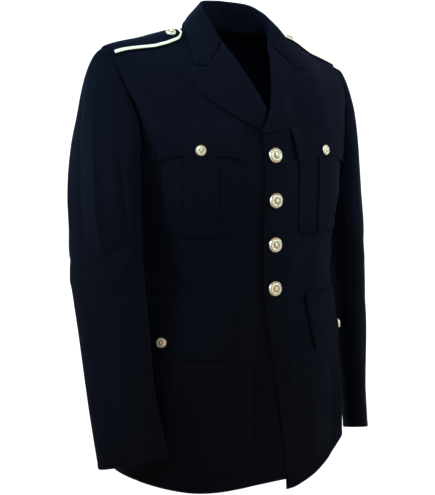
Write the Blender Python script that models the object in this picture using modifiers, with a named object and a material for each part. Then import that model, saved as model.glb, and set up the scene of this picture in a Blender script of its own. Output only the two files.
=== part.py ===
"""A single-breasted military dress jacket, worn and empty.

The wearer faces -Y and the wearer's left is +X. The origin lies between the two points where
the shoulder seams meet the collar. Every cloth piece is a wall between an outer and an inner
grid of points, worked out from a few level rows of the body and of the sleeve.
"""
import math

import bmesh
import bpy
import numpy as np
from mathutils import Vector

# Driving sizes, in metres
WALL = 0.0020
TRIM_WALL = 0.0016
LAID_ON = 0.0008
OVERLAP = 0.018
OVERLAP_LIFT = 0.0028
BREAK_LIFT = 0.0026
BUTTON_PITCH = 0.0655
FIRST_BUTTON_Z = -0.1946
BUTTON_LINE_X = -0.0036
SHARP = math.radians(40)
FRONT_BUTTON = 0.0229
SMALL_BUTTON = 0.0159

# Body levels from the hem up to the shoulder line. The last level lies along the shoulder seams.
# Columns: front_z, side_z, back_z, half_width, front_depth, back_depth, front_square, back_square, bend
BODY_LEVELS = {
    "hem": (-0.697, -0.676, -0.690, 0.196, 0.138, 0.132, 0.030, 0.010, 2.0),
    "seat": (-0.590, -0.585, -0.590, 0.191, 0.133, 0.131, 0.032, 0.010, 2.0),
    "hip": (-0.480, -0.480, -0.480, 0.182, 0.128, 0.118, 0.035, 0.015, 2.0),
    "waist": (-0.375, -0.375, -0.375, 0.163, 0.125, 0.098, 0.040, 0.015, 2.0),
    "ribs": (-0.285, -0.290, -0.285, 0.175, 0.126, 0.110, 0.035, 0.020, 2.0),
    "chest": (-0.205, -0.215, -0.205, 0.187, 0.126, 0.121, 0.030, 0.020, 2.0),
    "blade": (-0.145, -0.155, -0.140, 0.206, 0.111, 0.122, 0.030, 0.020, 2.0),
    "yoke": (-0.085, -0.105, -0.070, 0.226, 0.086, 0.110, 0.015, 0.010, 1.7),
    "slope": (-0.028, -0.068, -0.014, 0.235, 0.050, 0.076, 0.0, 0.0, 1.4),
    "shoulder": (0.014, -0.050, 0.014, 0.235, 0.0, 0.0, 0.0, 0.0, 1.3),
}
TOP = len(BODY_LEVELS) - 1
CHEST = list(BODY_LEVELS).index("chest")

# Side seams, as shares of the half ring from centre front to centre back
FRONT_SEAM = 0.42
BACK_SEAM = 0.60

# The armhole: turn of the sleeve, share of the half ring from its own centre, body level
FRONT_ARMHOLE = (
    (-90, 0.500, 4.96),
    (-60, 0.425, 5.12),
    (-30, 0.368, 5.55),
    (0, 0.345, 6.15),
    (30, 0.348, 7.05),
    (60, 0.358, 8.05),
    (90, 0.374, 9.0),
)
BACK_ARMHOLE = (
    (90, 0.374, 9.0),
    (120, 0.362, 8.05),
    (150, 0.356, 7.05),
    (180, 0.360, 6.20),
    (210, 0.378, 5.60),
    (240, 0.410, 5.18),
    (270, 0.500, 4.96),
)

# Sleeve levels below the cap. Columns: z, x, y, half_thick, half_wide, turn inward, rise of the front edge
SLEEVE_LEVELS = {
    "upper": (-0.265, 0.2220, -0.010, 0.036, 0.0650, 17.0, 0.002),
    "elbow": (-0.355, 0.2230, -0.020, 0.032, 0.0640, 21.0, 0.005),
    "forearm": (-0.455, 0.2205, -0.033, 0.026, 0.0600, 27.0, 0.009),
    "wrist": (-0.553, 0.2170, -0.046, 0.020, 0.0560, 31.0, 0.013),
    "cuff": (-0.637, 0.2070, -0.068, 0.017, 0.0570, 33.0, 0.016),
}
CUFF = len(SLEEVE_LEVELS)

# Front edge above the break, as (x, z) seen from the front, from the break to the side neck
ROLL_LINE = (
    (-0.0180, -0.166),
    (0.0000, -0.1400),
    (0.0129, -0.112),
    (0.0240, -0.085),
    (0.0334, -0.062),
    (0.0458, -0.030),
)
GORGE_END = (0.083, -0.0655)
LAPEL_TIP = (0.128, -0.073)
COLLAR_TIP = (0.101, -0.062)
LAPEL_EDGE = ((0.128, -0.073), (0.1170, -0.089), (0.090, -0.118), (0.0472, -0.144))
LEFT_LAPEL_END = (0.0180, -0.1575)
LEFT_BREAK_Z = -0.1640
RIGHT_LAPEL_END = (0.0215, -0.1570)
RIGHT_BREAK_Z = -0.1265

# Rows and columns of the body's pieces, and how far their edges stand back
FRONT_ROWS = 24
HEM_ROWS = 14
FRONT_COLUMNS = 13
SIDE_COLUMNS = 5
BACK_COLUMNS = 11
SEAM_TURN = -60.0
SIDE_GAP = 0.0011
CENTRE_BACK_GAP = 0.0005
EDGE_SET_BACK = 0.0034
NECK_SET_BACK = 0.0044
BACK_NECK_GAP = 0.0026
NECK_HALF = 0.0725
NAPE_LEVEL = 8.55
SHOULDER_LEVEL = TOP - 0.01

# How the shoulders sit: change of height, where it starts and is full outwards, and upwards
SHOULDER_SET = {1: (-0.0086, 0.110, 0.160), -1: (0.0047, 0.150, 0.210)}
SET_FROM_Z = -0.300
SET_FULL_Z = -0.050

# Sleeves: how the cap leaves the armhole, and its seams
CAP_LEAN = 4.0
CAP_TURN = 150.0
CAP_REACH = {1: 0.076, -1: 0.110}
UNDERARM_REACH = 0.03
CAP_STRETCH = 1.3
SEAM_RUN = 8.0
SEAM_STEP = 0.0007
SEAM_LIFT = 0.0020
SLEEVE_SEAMS = (-15, 210)
HALF_SEAM = 0.25
STATION = 15
CAP_ROWS = (0.18, 0.36, 0.54, 0.7, 0.85, 1.0)
# How far the outer face stands out or in, from the cuff up, and how much lower the cuff hangs
OUTER_FACE = {1: (0.004, 0.002, -0.001, -0.007, -0.015), -1: (0.008, 0.0, 0.003, 0.0085, 0.002)}
CUFF_DROP = {1: 0.0075, -1: 0.0}

# The turned-back cloth of lapels and collar
UNDER_GAP = 0.0009
FOLD_LOW = -(WALL + UNDER_GAP + TRIM_WALL / 2)
ROLL_HEIGHT = 0.0042
EDGE_HEIGHT = LAID_ON + TRIM_WALL / 2
FOLD_RADIUS = (ROLL_HEIGHT - FOLD_LOW) / 2
FOLD_CENTRE = (ROLL_HEIGHT + FOLD_LOW) / 2
FOLD_LEG = 0.004
FOLD_ANGLES = (180, 145, 110, 75, 40)
LAPEL_ROWS = 11
GORGE_DROP = (0.0, -0.0006)
PEAK_RISE = (0.0, 0.0015)

# Collar stations from the gorge round to the nape: the fold's top, and the leaf's edge in plan
COLLAR_CREST = (
    (0.0458, -0.0565, -0.0300),
    (0.0554, -0.0388, 0.0004),
    (0.0567, -0.0158, 0.0222),
    (0.0433, 0.0069, 0.0393),
    (0.0, 0.0250, 0.0454),
)
COLLAR_EDGE = (
    (0.1010, -0.0700),
    (0.0955, -0.0360),
    (0.0815, -0.0010),
    (0.0535, 0.0425),
    (0.0, 0.0630),
)
CREST_RADIUS = 0.0033
COLLAR_STATIONS = 11
LEAF_CLEAR = 0.0022
LEAF_BULGE = 0.0030
LEAF_SHARES = (0.2, 0.4, 0.6, 0.8, 1.0)

# Pockets and flaps: distances by tape from centre front for each side, then heights
CHEST_PLACES = {
    1: {"near": 0.0435, "far": 0.1630, "pleat": 0.1065, "flap_top": 0.0300, "flap_low": 0.0385,
        "flap_far": 0.1640, "button": 0.1000, "seam_near": -0.1550, "seam_far": -0.1400},
    -1: {"near": 0.0565, "far": 0.1765, "pleat": 0.1200, "flap_top": 0.0520, "flap_low": 0.0555,
         "flap_far": 0.1800, "button": 0.1208, "seam_near": -0.1460, "seam_far": -0.1460},
}
LOWER_PLACES = {
    1: {"near_top": 0.0570, "near_low": 0.0790, "far_top": 0.2610, "far_low": 0.2630, "button": 0.1700},
    -1: {"near_top": 0.0680, "near_low": 0.0875, "far_top": 0.2700, "far_low": 0.2720, "button": 0.1785},
}
CHEST_POCKET = {"top": -0.167, "bottom": -0.311, "corner": 0.014}
CHEST_PLEAT = {"half": 0.0225, "rise": 0.0012, "crease": 0.0014}
CHEST_FLAP = {"corner": -0.2035, "point": -0.2005, "arch": 0.0060}
LOWER_FLAP = {
    "top": -0.4045, "corner": -0.4925, "point": -0.4935, "arch": 0.0015, "rise": 0.0110, "lift": 0.0014,
}
CHEST_BUTTON_Z = -0.187
LOWER_BUTTON_Z = -0.4655
POCKET_WALL = 0.0014
FLAP_WALL = 0.0016
FLAP_HEIGHT = 0.0036

# Shoulder loop in plan: distance out from centre, its middle line, half its width
LOOP_PLAN = (
    (0.0960, -0.0150, 0.0140),
    (0.1120, -0.0145, 0.0150),
    (0.1300, -0.0125, 0.0180),
    (0.1485, -0.0092, 0.0202),
    (0.1644, -0.0052, 0.0212),
    (0.1843, -0.0012, 0.0220),
    (0.2140, 0.0045, 0.0229),
)
LOOP_INNER = LOOP_PLAN[0][0]
LOOP_OUTER = LOOP_PLAN[-1][0]
LOOP_ROUND = 0.017
LOOP_TAPER = 0.72
LOOP_HOLLOW = 0.0062
LOOP_SET = {1: 0.0140, -1: 0.0}
LOOP_FULL = {1: -0.0035, -1: 0.0}
LOOP_LIFT = 0.0013
LOOP_WALL = 0.0018
LOOP_COLUMNS = 15
LOOP_ROWS = (0.0, 0.035, 0.08, 0.15, 0.25, 0.36, 0.48, 0.61, 0.74, 0.87, 1.0)
LOOP_BUTTON = (0.1140, -0.0160)
BRAID_LIFT = 0.0005
BRAID_WIDTH = 0.0042
BRAID_INSET = 0.0003
BRAID_EDGE_WALL = 0.0010
BRAID_MIDDLE_WALL = 0.0019
BRAID_END = 0.0008

# Buttons: radius and rise as shares of half the width and of the width
BUTTON_SIDES = 12
BUTTON_PROFILE = (
    (0.00, 0.300),
    (0.42, 0.282),
    (0.72, 0.225),
    (0.90, 0.165),
    (1.00, 0.120),
    (0.94, 0.050),
    (0.34, 0.035),
    (0.30, 0.000),
    (0.00, 0.000),
)
BUTTON_SEAT = 0.0004

# Finishes: colour, roughness, metal
CLOTH = ((0.010, 0.013, 0.024), 0.9)
PIPING = ((0.78, 0.62, 0.30), 0.45)
GILT = ((0.83, 0.62, 0.28), 0.28, 1.0)


def smooth_rows(rows, place, level_end=0):
    """Cubic curve through the rows of a table; level_end names columns that arrive flat."""
    rows = np.asarray(rows, float)
    slopes = np.gradient(rows, axis=0)
    slopes[-1, :level_end] = 0.0
    place = np.clip(np.asarray(place, float), 0.0, len(rows) - 1.0)
    low = np.minimum(place.astype(int), len(rows) - 2)
    t = (place - low)[..., None]
    return (
        rows[low] * (1 + 2 * t) * (1 - t) ** 2
        + slopes[low] * t * (1 - t) ** 2
        + rows[low + 1] * t * t * (3 - 2 * t)
        - slopes[low + 1] * t * t * (1 - t)
    )


def smooth_points(points, count):
    """Points evenly spaced by row along a smooth curve through a few given ones."""
    return smooth_rows(points, np.linspace(0, len(points) - 1, count))


def eased(low, high, value):
    """0 below low, 1 above high, smooth between."""
    t = np.clip((value - low) / (high - low), 0.0, 1.0)
    return t * t * (3 - 2 * t)


def unit(vectors):
    """The vectors at length one."""
    return vectors / np.linalg.norm(vectors, axis=-1, keepdims=True)


def body(u, v):
    """The outer face of the left half: u from centre front, 0, to centre back, 1; v by level."""
    columns = smooth_rows(list(BODY_LEVELS.values()), v, level_end=3)
    front_z, side_z, back_z, width, front, back, front_square, back_square, bend = np.moveaxis(
        columns, -1, 0
    )
    turn = np.pi * u
    behind = u > 0.5
    square = np.where(behind, back_square, front_square)
    depth = np.where(behind, back, front)
    crown = np.where(behind, back_z, front_z) - side_z
    x = width * (np.sin(turn) + square * np.sin(3 * turn)) / (1 - square)
    y = -depth * (np.cos(turn) - square * np.cos(3 * turn)) / (1 - square)
    z = side_z + crown * (1 - np.abs(np.sin(turn)) ** bend)
    return np.stack([x, y, z], axis=-1)


def surface(point_at, a, b, a_step=1e-4, b_step=1e-3):
    """Points of a surface and its outward unit normals."""
    across = point_at(a + a_step, b) - point_at(a - a_step, b)
    along = point_at(a, b + b_step) - point_at(a, b - b_step)
    return point_at(a, b), unit(np.cross(across, along))


def on_body(u, v, out=0.0):
    """Points a height above the body's outer face."""
    u, v = np.broadcast_arrays(np.asarray(u, float), np.asarray(v, float))
    points, normals = surface(body, u, v)
    return points + normals * np.asarray(out, float)[..., None]


def find_on_body(first, second, axes, start_u, start_v):
    """The (u, v) whose two named coordinates take the given values."""
    first, second = np.broadcast_arrays(np.asarray(first, float), np.asarray(second, float))
    wanted = np.stack([first, second], axis=-1)
    u = np.full(first.shape, float(start_u))
    v = np.full(first.shape, float(start_v))
    for _ in range(40):
        off = body(u, v)[..., axes] - wanted
        du = (body(u + 1e-4, v)[..., axes] - body(u - 1e-4, v)[..., axes]) / 2e-4
        dv = (body(u, v + 1e-3)[..., axes] - body(u, v - 1e-3)[..., axes]) / 2e-3
        cross = du[..., 0] * dv[..., 1] - du[..., 1] * dv[..., 0]
        cross = np.where(np.abs(cross) < 1e-7, 1e-7, cross)
        u = u - np.clip((off[..., 0] * dv[..., 1] - off[..., 1] * dv[..., 0]) / cross, -0.05, 0.05)
        v = v - np.clip((du[..., 0] * off[..., 1] - du[..., 1] * off[..., 0]) / cross, -0.5, 0.5)
        v = np.clip(v, 0.0, TOP - 1e-3)
    return u, v


def seen_from_front(x, z):
    """The (u, v) of a point of the front given as it is seen from the front."""
    return find_on_body(x, z, [0, 2], 0.15, 6.0)


def girth_place(girth, z):
    """The (u, v) at a height and at a tape measure's distance round from centre front."""
    girth, z = np.broadcast_arrays(np.asarray(girth, float), np.asarray(z, float))
    ring = np.linspace(0.0, 0.9, 73)
    heights = np.linspace(z.min() - 0.01, z.max() + 0.01, 9)
    level = np.linspace(0, CHEST + 1.5, 140)
    rings = []
    for height in heights:
        across = np.array([np.interp(height, body(np.full(140, u), level)[:, 2], level) for u in ring])
        steps = np.linalg.norm(np.diff(body(ring, across), axis=0), axis=1)
        rings.append((np.concatenate([[0.0], np.cumsum(steps)]), across))
    u = np.empty(girth.shape)
    v = np.empty(girth.shape)
    for place in np.ndindex(girth.shape):
        share = np.interp(z[place], heights, np.arange(9))
        low = min(int(share), 7)
        t = share - low
        tape = rings[low][0] * (1 - t) + rings[low + 1][0] * t
        across = rings[low][1] * (1 - t) + rings[low + 1][1] * t
        u[place] = np.interp(girth[place], tape, ring)
        v[place] = np.interp(u[place], ring, across)
    return u, v


def patch(bottom, top, left, right):
    """A grid of points filling four edges, rows from bottom to top and columns left to right."""
    bottom, top, left, right = (np.asarray(edge, float) for edge in (bottom, top, left, right))
    s = np.linspace(0, 1, len(left))[:, None, None]
    t = np.linspace(0, 1, len(bottom))[None, :, None]
    corners = (
        (1 - s) * ((1 - t) * bottom[0] + t * bottom[-1]) + s * ((1 - t) * top[0] + t * top[-1])
    )
    return (1 - s) * bottom + s * top + (1 - t) * left[:, None] + t * right[:, None] - corners


def material(name, colour, roughness, metallic=0.0):
    """A plain finish of one colour."""
    made = bpy.data.materials.new(name)
    made.use_nodes = True
    shader = made.node_tree.nodes["Principled BSDF"]
    shader.inputs["Base Color"].default_value = (*colour, 1.0)
    shader.inputs["Roughness"].default_value = roughness
    shader.inputs["Metallic"].default_value = metallic
    return made


def add_object(name, mesh, finish):
    """Put a mesh in the jacket's collection with a finish of its own."""
    item = bpy.data.objects.new(name, mesh)
    mesh.materials.append(material(name, *finish))
    bpy.data.collections["dress_jacket"].objects.link(item)
    return item


def settled(points):
    """The points with one shoulder a little lower and the other a little higher, as the jacket hangs."""
    height = eased(SET_FROM_Z, SET_FULL_Z, points[..., 2])
    lift = np.zeros(points.shape[:-1])
    for side, (change, start, full) in SHOULDER_SET.items():
        lift = lift + change * height * eased(start, full, points[..., 0] * side)
    return points + lift[..., None] * np.array([0.0, 0.0, 1.0])


def add_wall(name, outer, inner, finish):
    """A closed wall between two grids of points, both split along the same diagonals."""
    outer, inner = settled(outer), settled(inner)
    rows, columns = outer.shape[:2]
    size = rows * columns
    faces = []
    for row in range(rows - 1):
        for column in range(columns - 1):
            a = row * columns + column
            b, c, d = a + 1, a + columns + 1, a + columns
            first = np.linalg.norm(outer[row, column] - outer[row + 1, column + 1])
            second = np.linalg.norm(outer[row, column + 1] - outer[row + 1, column])
            halves = ((a, b, c), (a, c, d)) if first <= second else ((a, b, d), (b, c, d))
            faces += halves
            faces += [tuple(size + corner for corner in reversed(half)) for half in halves]
    bottom = list(range(columns))
    right = [row * columns + columns - 1 for row in range(1, rows)]
    top = [size - 1 - column for column in range(1, columns)]
    left = [row * columns for row in range(rows - 2, -1, -1)]
    rim = bottom + right + top + left
    for a, b in zip(rim, rim[1:]):
        faces += [(b, a, size + a), (b, size + a, size + b)]
    mesh = bpy.data.meshes.new(name)
    mesh.from_pydata(np.concatenate([outer.reshape(-1, 3), inner.reshape(-1, 3)]), [], faces)
    mesh.shade_smooth()
    mesh.set_sharp_from_angle(angle=SHARP)
    return add_object(name, mesh, finish)


def for_side(points, side):
    """A grid of the left half as it stands, or turned over for the right half."""
    return points if side > 0 else points[:, ::-1] * np.array([-1.0, 1.0, 1.0])


def front_lift(x, z, side):
    """How far the left front stands off the body where it laps over the right one."""
    if side < 0:
        return np.zeros(np.shape(x))
    lift = OVERLAP_LIFT + BREAK_LIFT * eased(-0.190, -0.164, z)
    return lift * (1 - eased(0.024, 0.052, x)) * (1 - eased(-0.150, -0.055, z))


def armhole(turn):
    """(u, v) of the armhole seam, from its foot at -90 degrees forward and over the shoulder."""
    turn = (np.asarray(turn, float) + 90) % 360 - 90
    front = np.array(FRONT_ARMHOLE)
    back = np.array(BACK_ARMHOLE)
    ahead = smooth_rows(front[:, 1:], (turn + 90) / 30)
    behind = smooth_rows(back[:, 1:], (turn - 90) / 30)
    behind[..., 0] = 1 - behind[..., 0]
    return np.where((turn <= 90)[..., None], ahead, behind)


def hem_level(u, side):
    """Level of the hem: the right front is short at its edge, the left half rises to its side."""
    if side > 0:
        return 0.42 * eased(0.03, 0.30, u) * (1 - eased(0.62, 0.95, u))
    return 0.03 + 0.11 * (1 - eased(0.0, 0.24, u)) - 0.03 * eased(0.62, 0.95, u)


def front_edge_x(level, side):
    """The lap past centre front; the left edge swings away towards the hem."""
    swing = 0.030 if side > 0 else 0.004
    return OVERLAP - swing * eased(3.2, 0.0, level)


def side_to_shoulder(seam, turns, rows):
    """(u, v) up a side seam and round the armhole to the shoulder."""
    join = armhole([turns[0]])[0]
    level = np.linspace(0, join[1], rows)
    lower = np.stack([seam + (join[0] - seam) * eased(4.2, join[1], level), level], axis=-1)
    upper = armhole(np.linspace(turns[0], turns[1], FRONT_ROWS - rows + 1)[1:])
    upper[-1, 1] = SHOULDER_LEVEL
    if seam > 0.5:
        upper[-1, 0] = 1 - upper[-1, 0]
    return np.concatenate([lower, upper])


def roll_at(z):
    """(x, z) of the roll line at some heights."""
    roll = smooth_points(ROLL_LINE, 61)
    return np.stack([np.interp(z, roll[:, 1], roll[:, 0]), z], axis=-1)


def front_inner_edge(levels, side):
    """(u, v) up the front edge, the roll line and the front neck."""
    roll = roll_at(np.linspace(ROLL_LINE[0][1], ROLL_LINE[-1][1], 40))
    roll_u, roll_v = seen_from_front(roll[:, 0], roll[:, 1])
    neck_u = math.asin(NECK_HALF / BODY_LEVELS["shoulder"][3]) / math.pi
    edge_u = np.interp(levels, np.append(roll_v, TOP), np.append(roll_u, neck_u))
    set_back = np.interp(
        levels,
        [roll_v[0], roll_v[6], roll_v[-1], TOP],
        [0.0, EDGE_SET_BACK, EDGE_SET_BACK, NECK_SET_BACK],
    )
    for row in np.nonzero(levels < roll_v[0])[0]:
        width = body(np.array([0.5]), levels[row : row + 1])[0, 0]
        edge_u[row] = -math.asin(front_edge_x(levels[row], side) / width) / math.pi
    return np.stack([edge_u + set_back, levels], axis=-1)


def add_panel(name, grid, side):
    """One cut piece of the body between its outer and inner faces."""
    u, v = grid[..., 0], grid[..., 1]
    hem = hem_level(np.clip(u, 0, 1), side)
    v = hem + v * (1 - hem / TOP)
    flat = body(u, v)
    lift = front_lift(flat[..., 0], flat[..., 2], side)
    outer = on_body(u, v, lift)
    inner = on_body(u, v, lift - WALL)
    return add_wall(name, for_side(outer, side), for_side(inner, side), CLOTH)


def build_front(name, side):
    """The front, from its edge, roll line and neck to the side seam and the armhole."""
    outer_edge = side_to_shoulder(FRONT_SEAM, (SEAM_TURN, 90), HEM_ROWS)
    inner_edge = front_inner_edge(outer_edge[:, 1], side)
    share = np.linspace(0, 1, FRONT_COLUMNS)[None, :, None] ** 1.25
    add_panel(name, inner_edge[:, None] * (1 - share) + outer_edge[:, None] * share, side)


def build_side(name, side):
    """The side panel under the arm."""
    columns, rows = SIDE_COLUMNS, HEM_ROWS
    turns = np.linspace(SEAM_TURN, SEAM_TURN - 60, columns)
    top = np.where((turns < -90)[:, None], armhole(turns + 360), armhole(turns))
    low = np.stack([np.linspace(FRONT_SEAM, BACK_SEAM, columns), np.zeros(columns)], axis=-1)
    level = np.linspace(0, 1, rows)[:, None, None] * top[None, :, 1:]
    across = low[None, :, :1] + (top[None, :, :1] - low[None, :, :1]) * eased(4.2, 5.1, level)
    gap = SIDE_GAP * np.linspace(1, -1, columns)[None, :, None]
    add_panel(name, np.concatenate([across + gap, level], axis=-1), side)


def back_neck(count, wider=0.0):
    """(u, v) along the back neck from the side neck to the nape."""
    turn = np.linspace(0, math.pi / 2, count)
    x = (NECK_HALF + wider) * np.cos(turn)
    u = 1 - np.arcsin(x / BODY_LEVELS["shoulder"][3]) / math.pi
    drop = SHOULDER_LEVEL - NAPE_LEVEL + wider / BODY_LEVELS["slope"][5]
    return np.stack([u, SHOULDER_LEVEL - drop * np.sin(turn)], axis=-1)


def build_back(name, side):
    """Half of the back, from the plain centre seam to the side seam and the armhole."""
    outer_edge = side_to_shoulder(BACK_SEAM, (300 + SEAM_TURN, 90), HEM_ROWS)
    neck = back_neck(5, BACK_NECK_GAP)
    shoulder_u = np.linspace(outer_edge[-1, 0], neck[0, 0], 7)[:-1]
    top = np.concatenate([np.stack([shoulder_u, np.full(6, SHOULDER_LEVEL)], axis=-1), neck])
    centre = 1 - CENTRE_BACK_GAP
    bottom = np.stack([np.linspace(BACK_SEAM, centre, BACK_COLUMNS), np.zeros(BACK_COLUMNS)], axis=-1)
    top[-1, 0] = centre
    level = outer_edge[:, 1] * neck[-1, 1] / outer_edge[-1, 1]
    middle = np.stack([np.full(FRONT_ROWS, centre), level], axis=-1)
    add_panel(name, patch(bottom, top, outer_edge, middle), side)


def sleeve_ring(turn, place, side):
    """The sleeve below the cap: turn 0 at its front fold, 90 outside; place 0 at the cuff."""
    rows = list(SLEEVE_LEVELS.values())[::-1]
    z, x, y, thick, wide, inward, rise = np.moveaxis(smooth_rows(rows, place), -1, 0)
    outward = smooth_rows(np.array(OUTER_FACE[side])[:, None], place)[..., 0] / 2
    x, thick = x + outward, thick + outward
    z = z - CUFF_DROP[side] * (1 - place / (CUFF - 1))
    turn, inward = np.radians(turn), np.radians(inward)
    across = thick * np.sin(turn)
    along = -wide * np.cos(turn)
    return np.stack(
        [
            x + across * np.cos(inward) + along * np.sin(inward),
            y - across * np.sin(inward) + along * np.cos(inward),
            z + rise * np.cos(turn),
        ],
        axis=-1,
    )


def sleeve(turn, place, side):
    """The sleeve's outer face, from the cuff, place 0, to the armhole seam, place CUFF."""
    turn, place = np.broadcast_arrays(np.asarray(turn, float), np.asarray(place, float))
    last = CUFF - 1.0
    arm = sleeve_ring(turn, np.minimum(place, last), side)
    u, v = np.moveaxis(armhole(turn), -1, 0)
    v = np.minimum(v, SHOULDER_LEVEL)
    seam, normal = surface(body, u, v)
    ahead, behind = (np.moveaxis(armhole(turn + step), -1, 0) for step in (SEAM_RUN, -SEAM_RUN))
    run = unit(body(*ahead) - body(*behind))
    out = unit(np.cross(run, normal))
    under = ((1 - np.sin(np.radians(turn))) / 2)[..., None]
    lean = np.radians(CAP_LEAN + CAP_TURN * under)
    leave = out * np.cos(lean) + normal * np.sin(lean)
    reach = CAP_REACH[side] * (1 - under) + UNDERARM_REACH
    start = seam + out * SEAM_STEP + normal * SEAM_LIFT * under
    end = sleeve_ring(turn, np.full(turn.shape, last), side)
    rise = (end - sleeve_ring(turn, np.full(turn.shape, last - 0.05), side)) / 0.05 * CAP_STRETCH
    t = np.clip(place - last, 0.0, 1.0)[..., None]
    cap = (
        end * (1 + 2 * t) * (1 - t) ** 2
        + rise * t * (1 - t) ** 2
        + start * t * t * (3 - 2 * t)
        + leave * reach * t * t * (1 - t)
    )
    return np.where((place > last)[..., None], cap, arm)


def build_sleeve(word, side):
    """The outer and the under sleeve, which meet inside the front fold and at the elbow."""
    places = np.concatenate([np.linspace(0, CUFF - 1, 8), CUFF - 1 + np.array(CAP_ROWS)])
    front, back = SLEEVE_SEAMS

    def side_sleeve(turn, place):
        return sleeve(turn, place, side)

    for name, low, high in (
        (f"sleeve_top_{word}", front, back),
        (f"sleeve_under_{word}", back, front + 360),
    ):
        turns = np.arange(low, high + 1, STATION, dtype=float)
        turns[0] += HALF_SEAM
        turns[-1] -= HALF_SEAM
        turn, place = np.meshgrid(turns, places)
        points, normals = surface(side_sleeve, turn, place, 0.2, 0.01)
        inner = points - normals * WALL
        add_wall(name, for_side(points, side), for_side(inner, side), CLOTH)


def grid_normals(grid):
    """Unit normals of a grid of points, columns turned towards rows."""

    def run(axis):
        steps = unit(np.diff(grid, axis=axis))
        first = np.take(steps, [0], axis)
        last = np.take(steps, [-1], axis)
        return np.concatenate([first, steps], axis) + np.concatenate([steps, last], axis)

    return unit(np.cross(run(1), run(0)))


def add_sheet(name, middle, thick, side, finish):
    """A wall of even thickness about a grid of middle points."""
    normals = grid_normals(middle)
    outer = middle + normals * thick / 2
    inner = middle - normals * thick / 2
    return add_wall(name, for_side(outer, side), for_side(inner, side), finish)


def turned_height(share):
    """Height of the turned cloth's middle above the front, from the roll, 0, to its edge, 1."""
    return EDGE_HEIGHT + (ROLL_HEIGHT - EDGE_HEIGHT) * (1 - share) ** 2


def on_front(x, z, height, side):
    """Points above the front, over the lap of the left one too."""
    u, v = seen_from_front(x, z)
    return on_body(u, v, height + front_lift(x, z, side))


def build_lapel(name, side):
    """The turned-back lapel, rolled round the front's edge from the gorge to the break."""
    end, break_z = (LEFT_LAPEL_END, LEFT_BREAK_Z) if side > 0 else (RIGHT_LAPEL_END, RIGHT_BREAK_Z)
    edge = smooth_points([end, *LAPEL_EDGE[::-1]], LAPEL_ROWS)
    roll = roll_at(np.linspace(break_z, ROLL_LINE[-1][1], LAPEL_ROWS))
    drop = np.array(GORGE_DROP)
    start, notch, tip = roll[-1] + drop, np.array(GORGE_END) + drop, np.array(LAPEL_TIP)
    roll[-1] = start
    gorge = [start + (notch - start) * share for share in (0, 1 / 3, 2 / 3, 1)]
    top = np.array([*gorge, (notch + tip) / 2 + np.array(PEAK_RISE), tip])
    bottom = np.linspace(roll[0], end, len(top))
    flat = patch(bottom, top, roll, edge)
    share = np.linspace(0, 1, len(top))[None, :]
    lying = on_front(flat[..., 0], flat[..., 1], turned_height(share) + np.zeros(flat.shape[:2]), side)
    u, v = seen_from_front(roll[:, 0], roll[:, 1])
    lift = front_lift(roll[:, 0], roll[:, 1], side)
    base, normal = surface(body, u, v)
    base = base + normal * lift[:, None]
    run = unit(np.gradient(base, axis=0))
    out = unit(np.cross(run, normal))
    fold = [base + normal * FOLD_LOW + out * FOLD_LEG]
    for angle in np.radians(FOLD_ANGLES):
        fold.append(
            base
            + normal * (FOLD_CENTRE + FOLD_RADIUS * math.cos(angle))
            - out * FOLD_RADIUS * math.sin(angle)
        )
    middle = np.concatenate([np.stack(fold, axis=1), lying], axis=1)
    add_sheet(name, middle, TRIM_WALL, side, CLOTH)


def over_shoulder(x, y, height):
    """Points above the body's top, given in plan."""
    x, y = np.broadcast_arrays(np.asarray(x, float), np.asarray(y, float))
    ahead = find_on_body(x, np.minimum(y, -2e-4), [0, 1], 0.2, 8.6)
    behind = find_on_body(x, np.maximum(y, 2e-4), [0, 1], 0.85, 8.6)
    u = np.where(y < 0, ahead[0], behind[0])
    v = np.where(y < 0, ahead[1], behind[1])
    return on_body(u, v, height + np.zeros(x.shape))


def neck_line(count):
    """(u, v) of the neck edge from the gorge to the nape."""
    start = np.array([float(value) for value in seen_from_front(*ROLL_LINE[-1])])
    end = np.array([math.asin(NECK_HALF / BODY_LEVELS["shoulder"][3]) / math.pi, SHOULDER_LEVEL])
    share = np.linspace(0, 1, count // 2 + 1)[:-1, None]
    return np.concatenate([start + (end - start) * share, back_neck(count - count // 2)])


def kept_off(points, height):
    """Points raised where they would come nearer than a height to the body's top."""
    x = np.clip(points[:, 0], 0.004, None)
    low = over_shoulder(x, points[:, 1], 0.0)
    high = over_shoulder(x, points[:, 1], 0.001)
    slope = np.clip((high - low)[:, 2] / 0.001, 0.35, 1.0)
    gap = (points[:, 2] - low[:, 2]) * slope - height
    return points + (high - low) / 0.001 * np.clip(-gap, 0.0, 0.02)[:, None]


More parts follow.
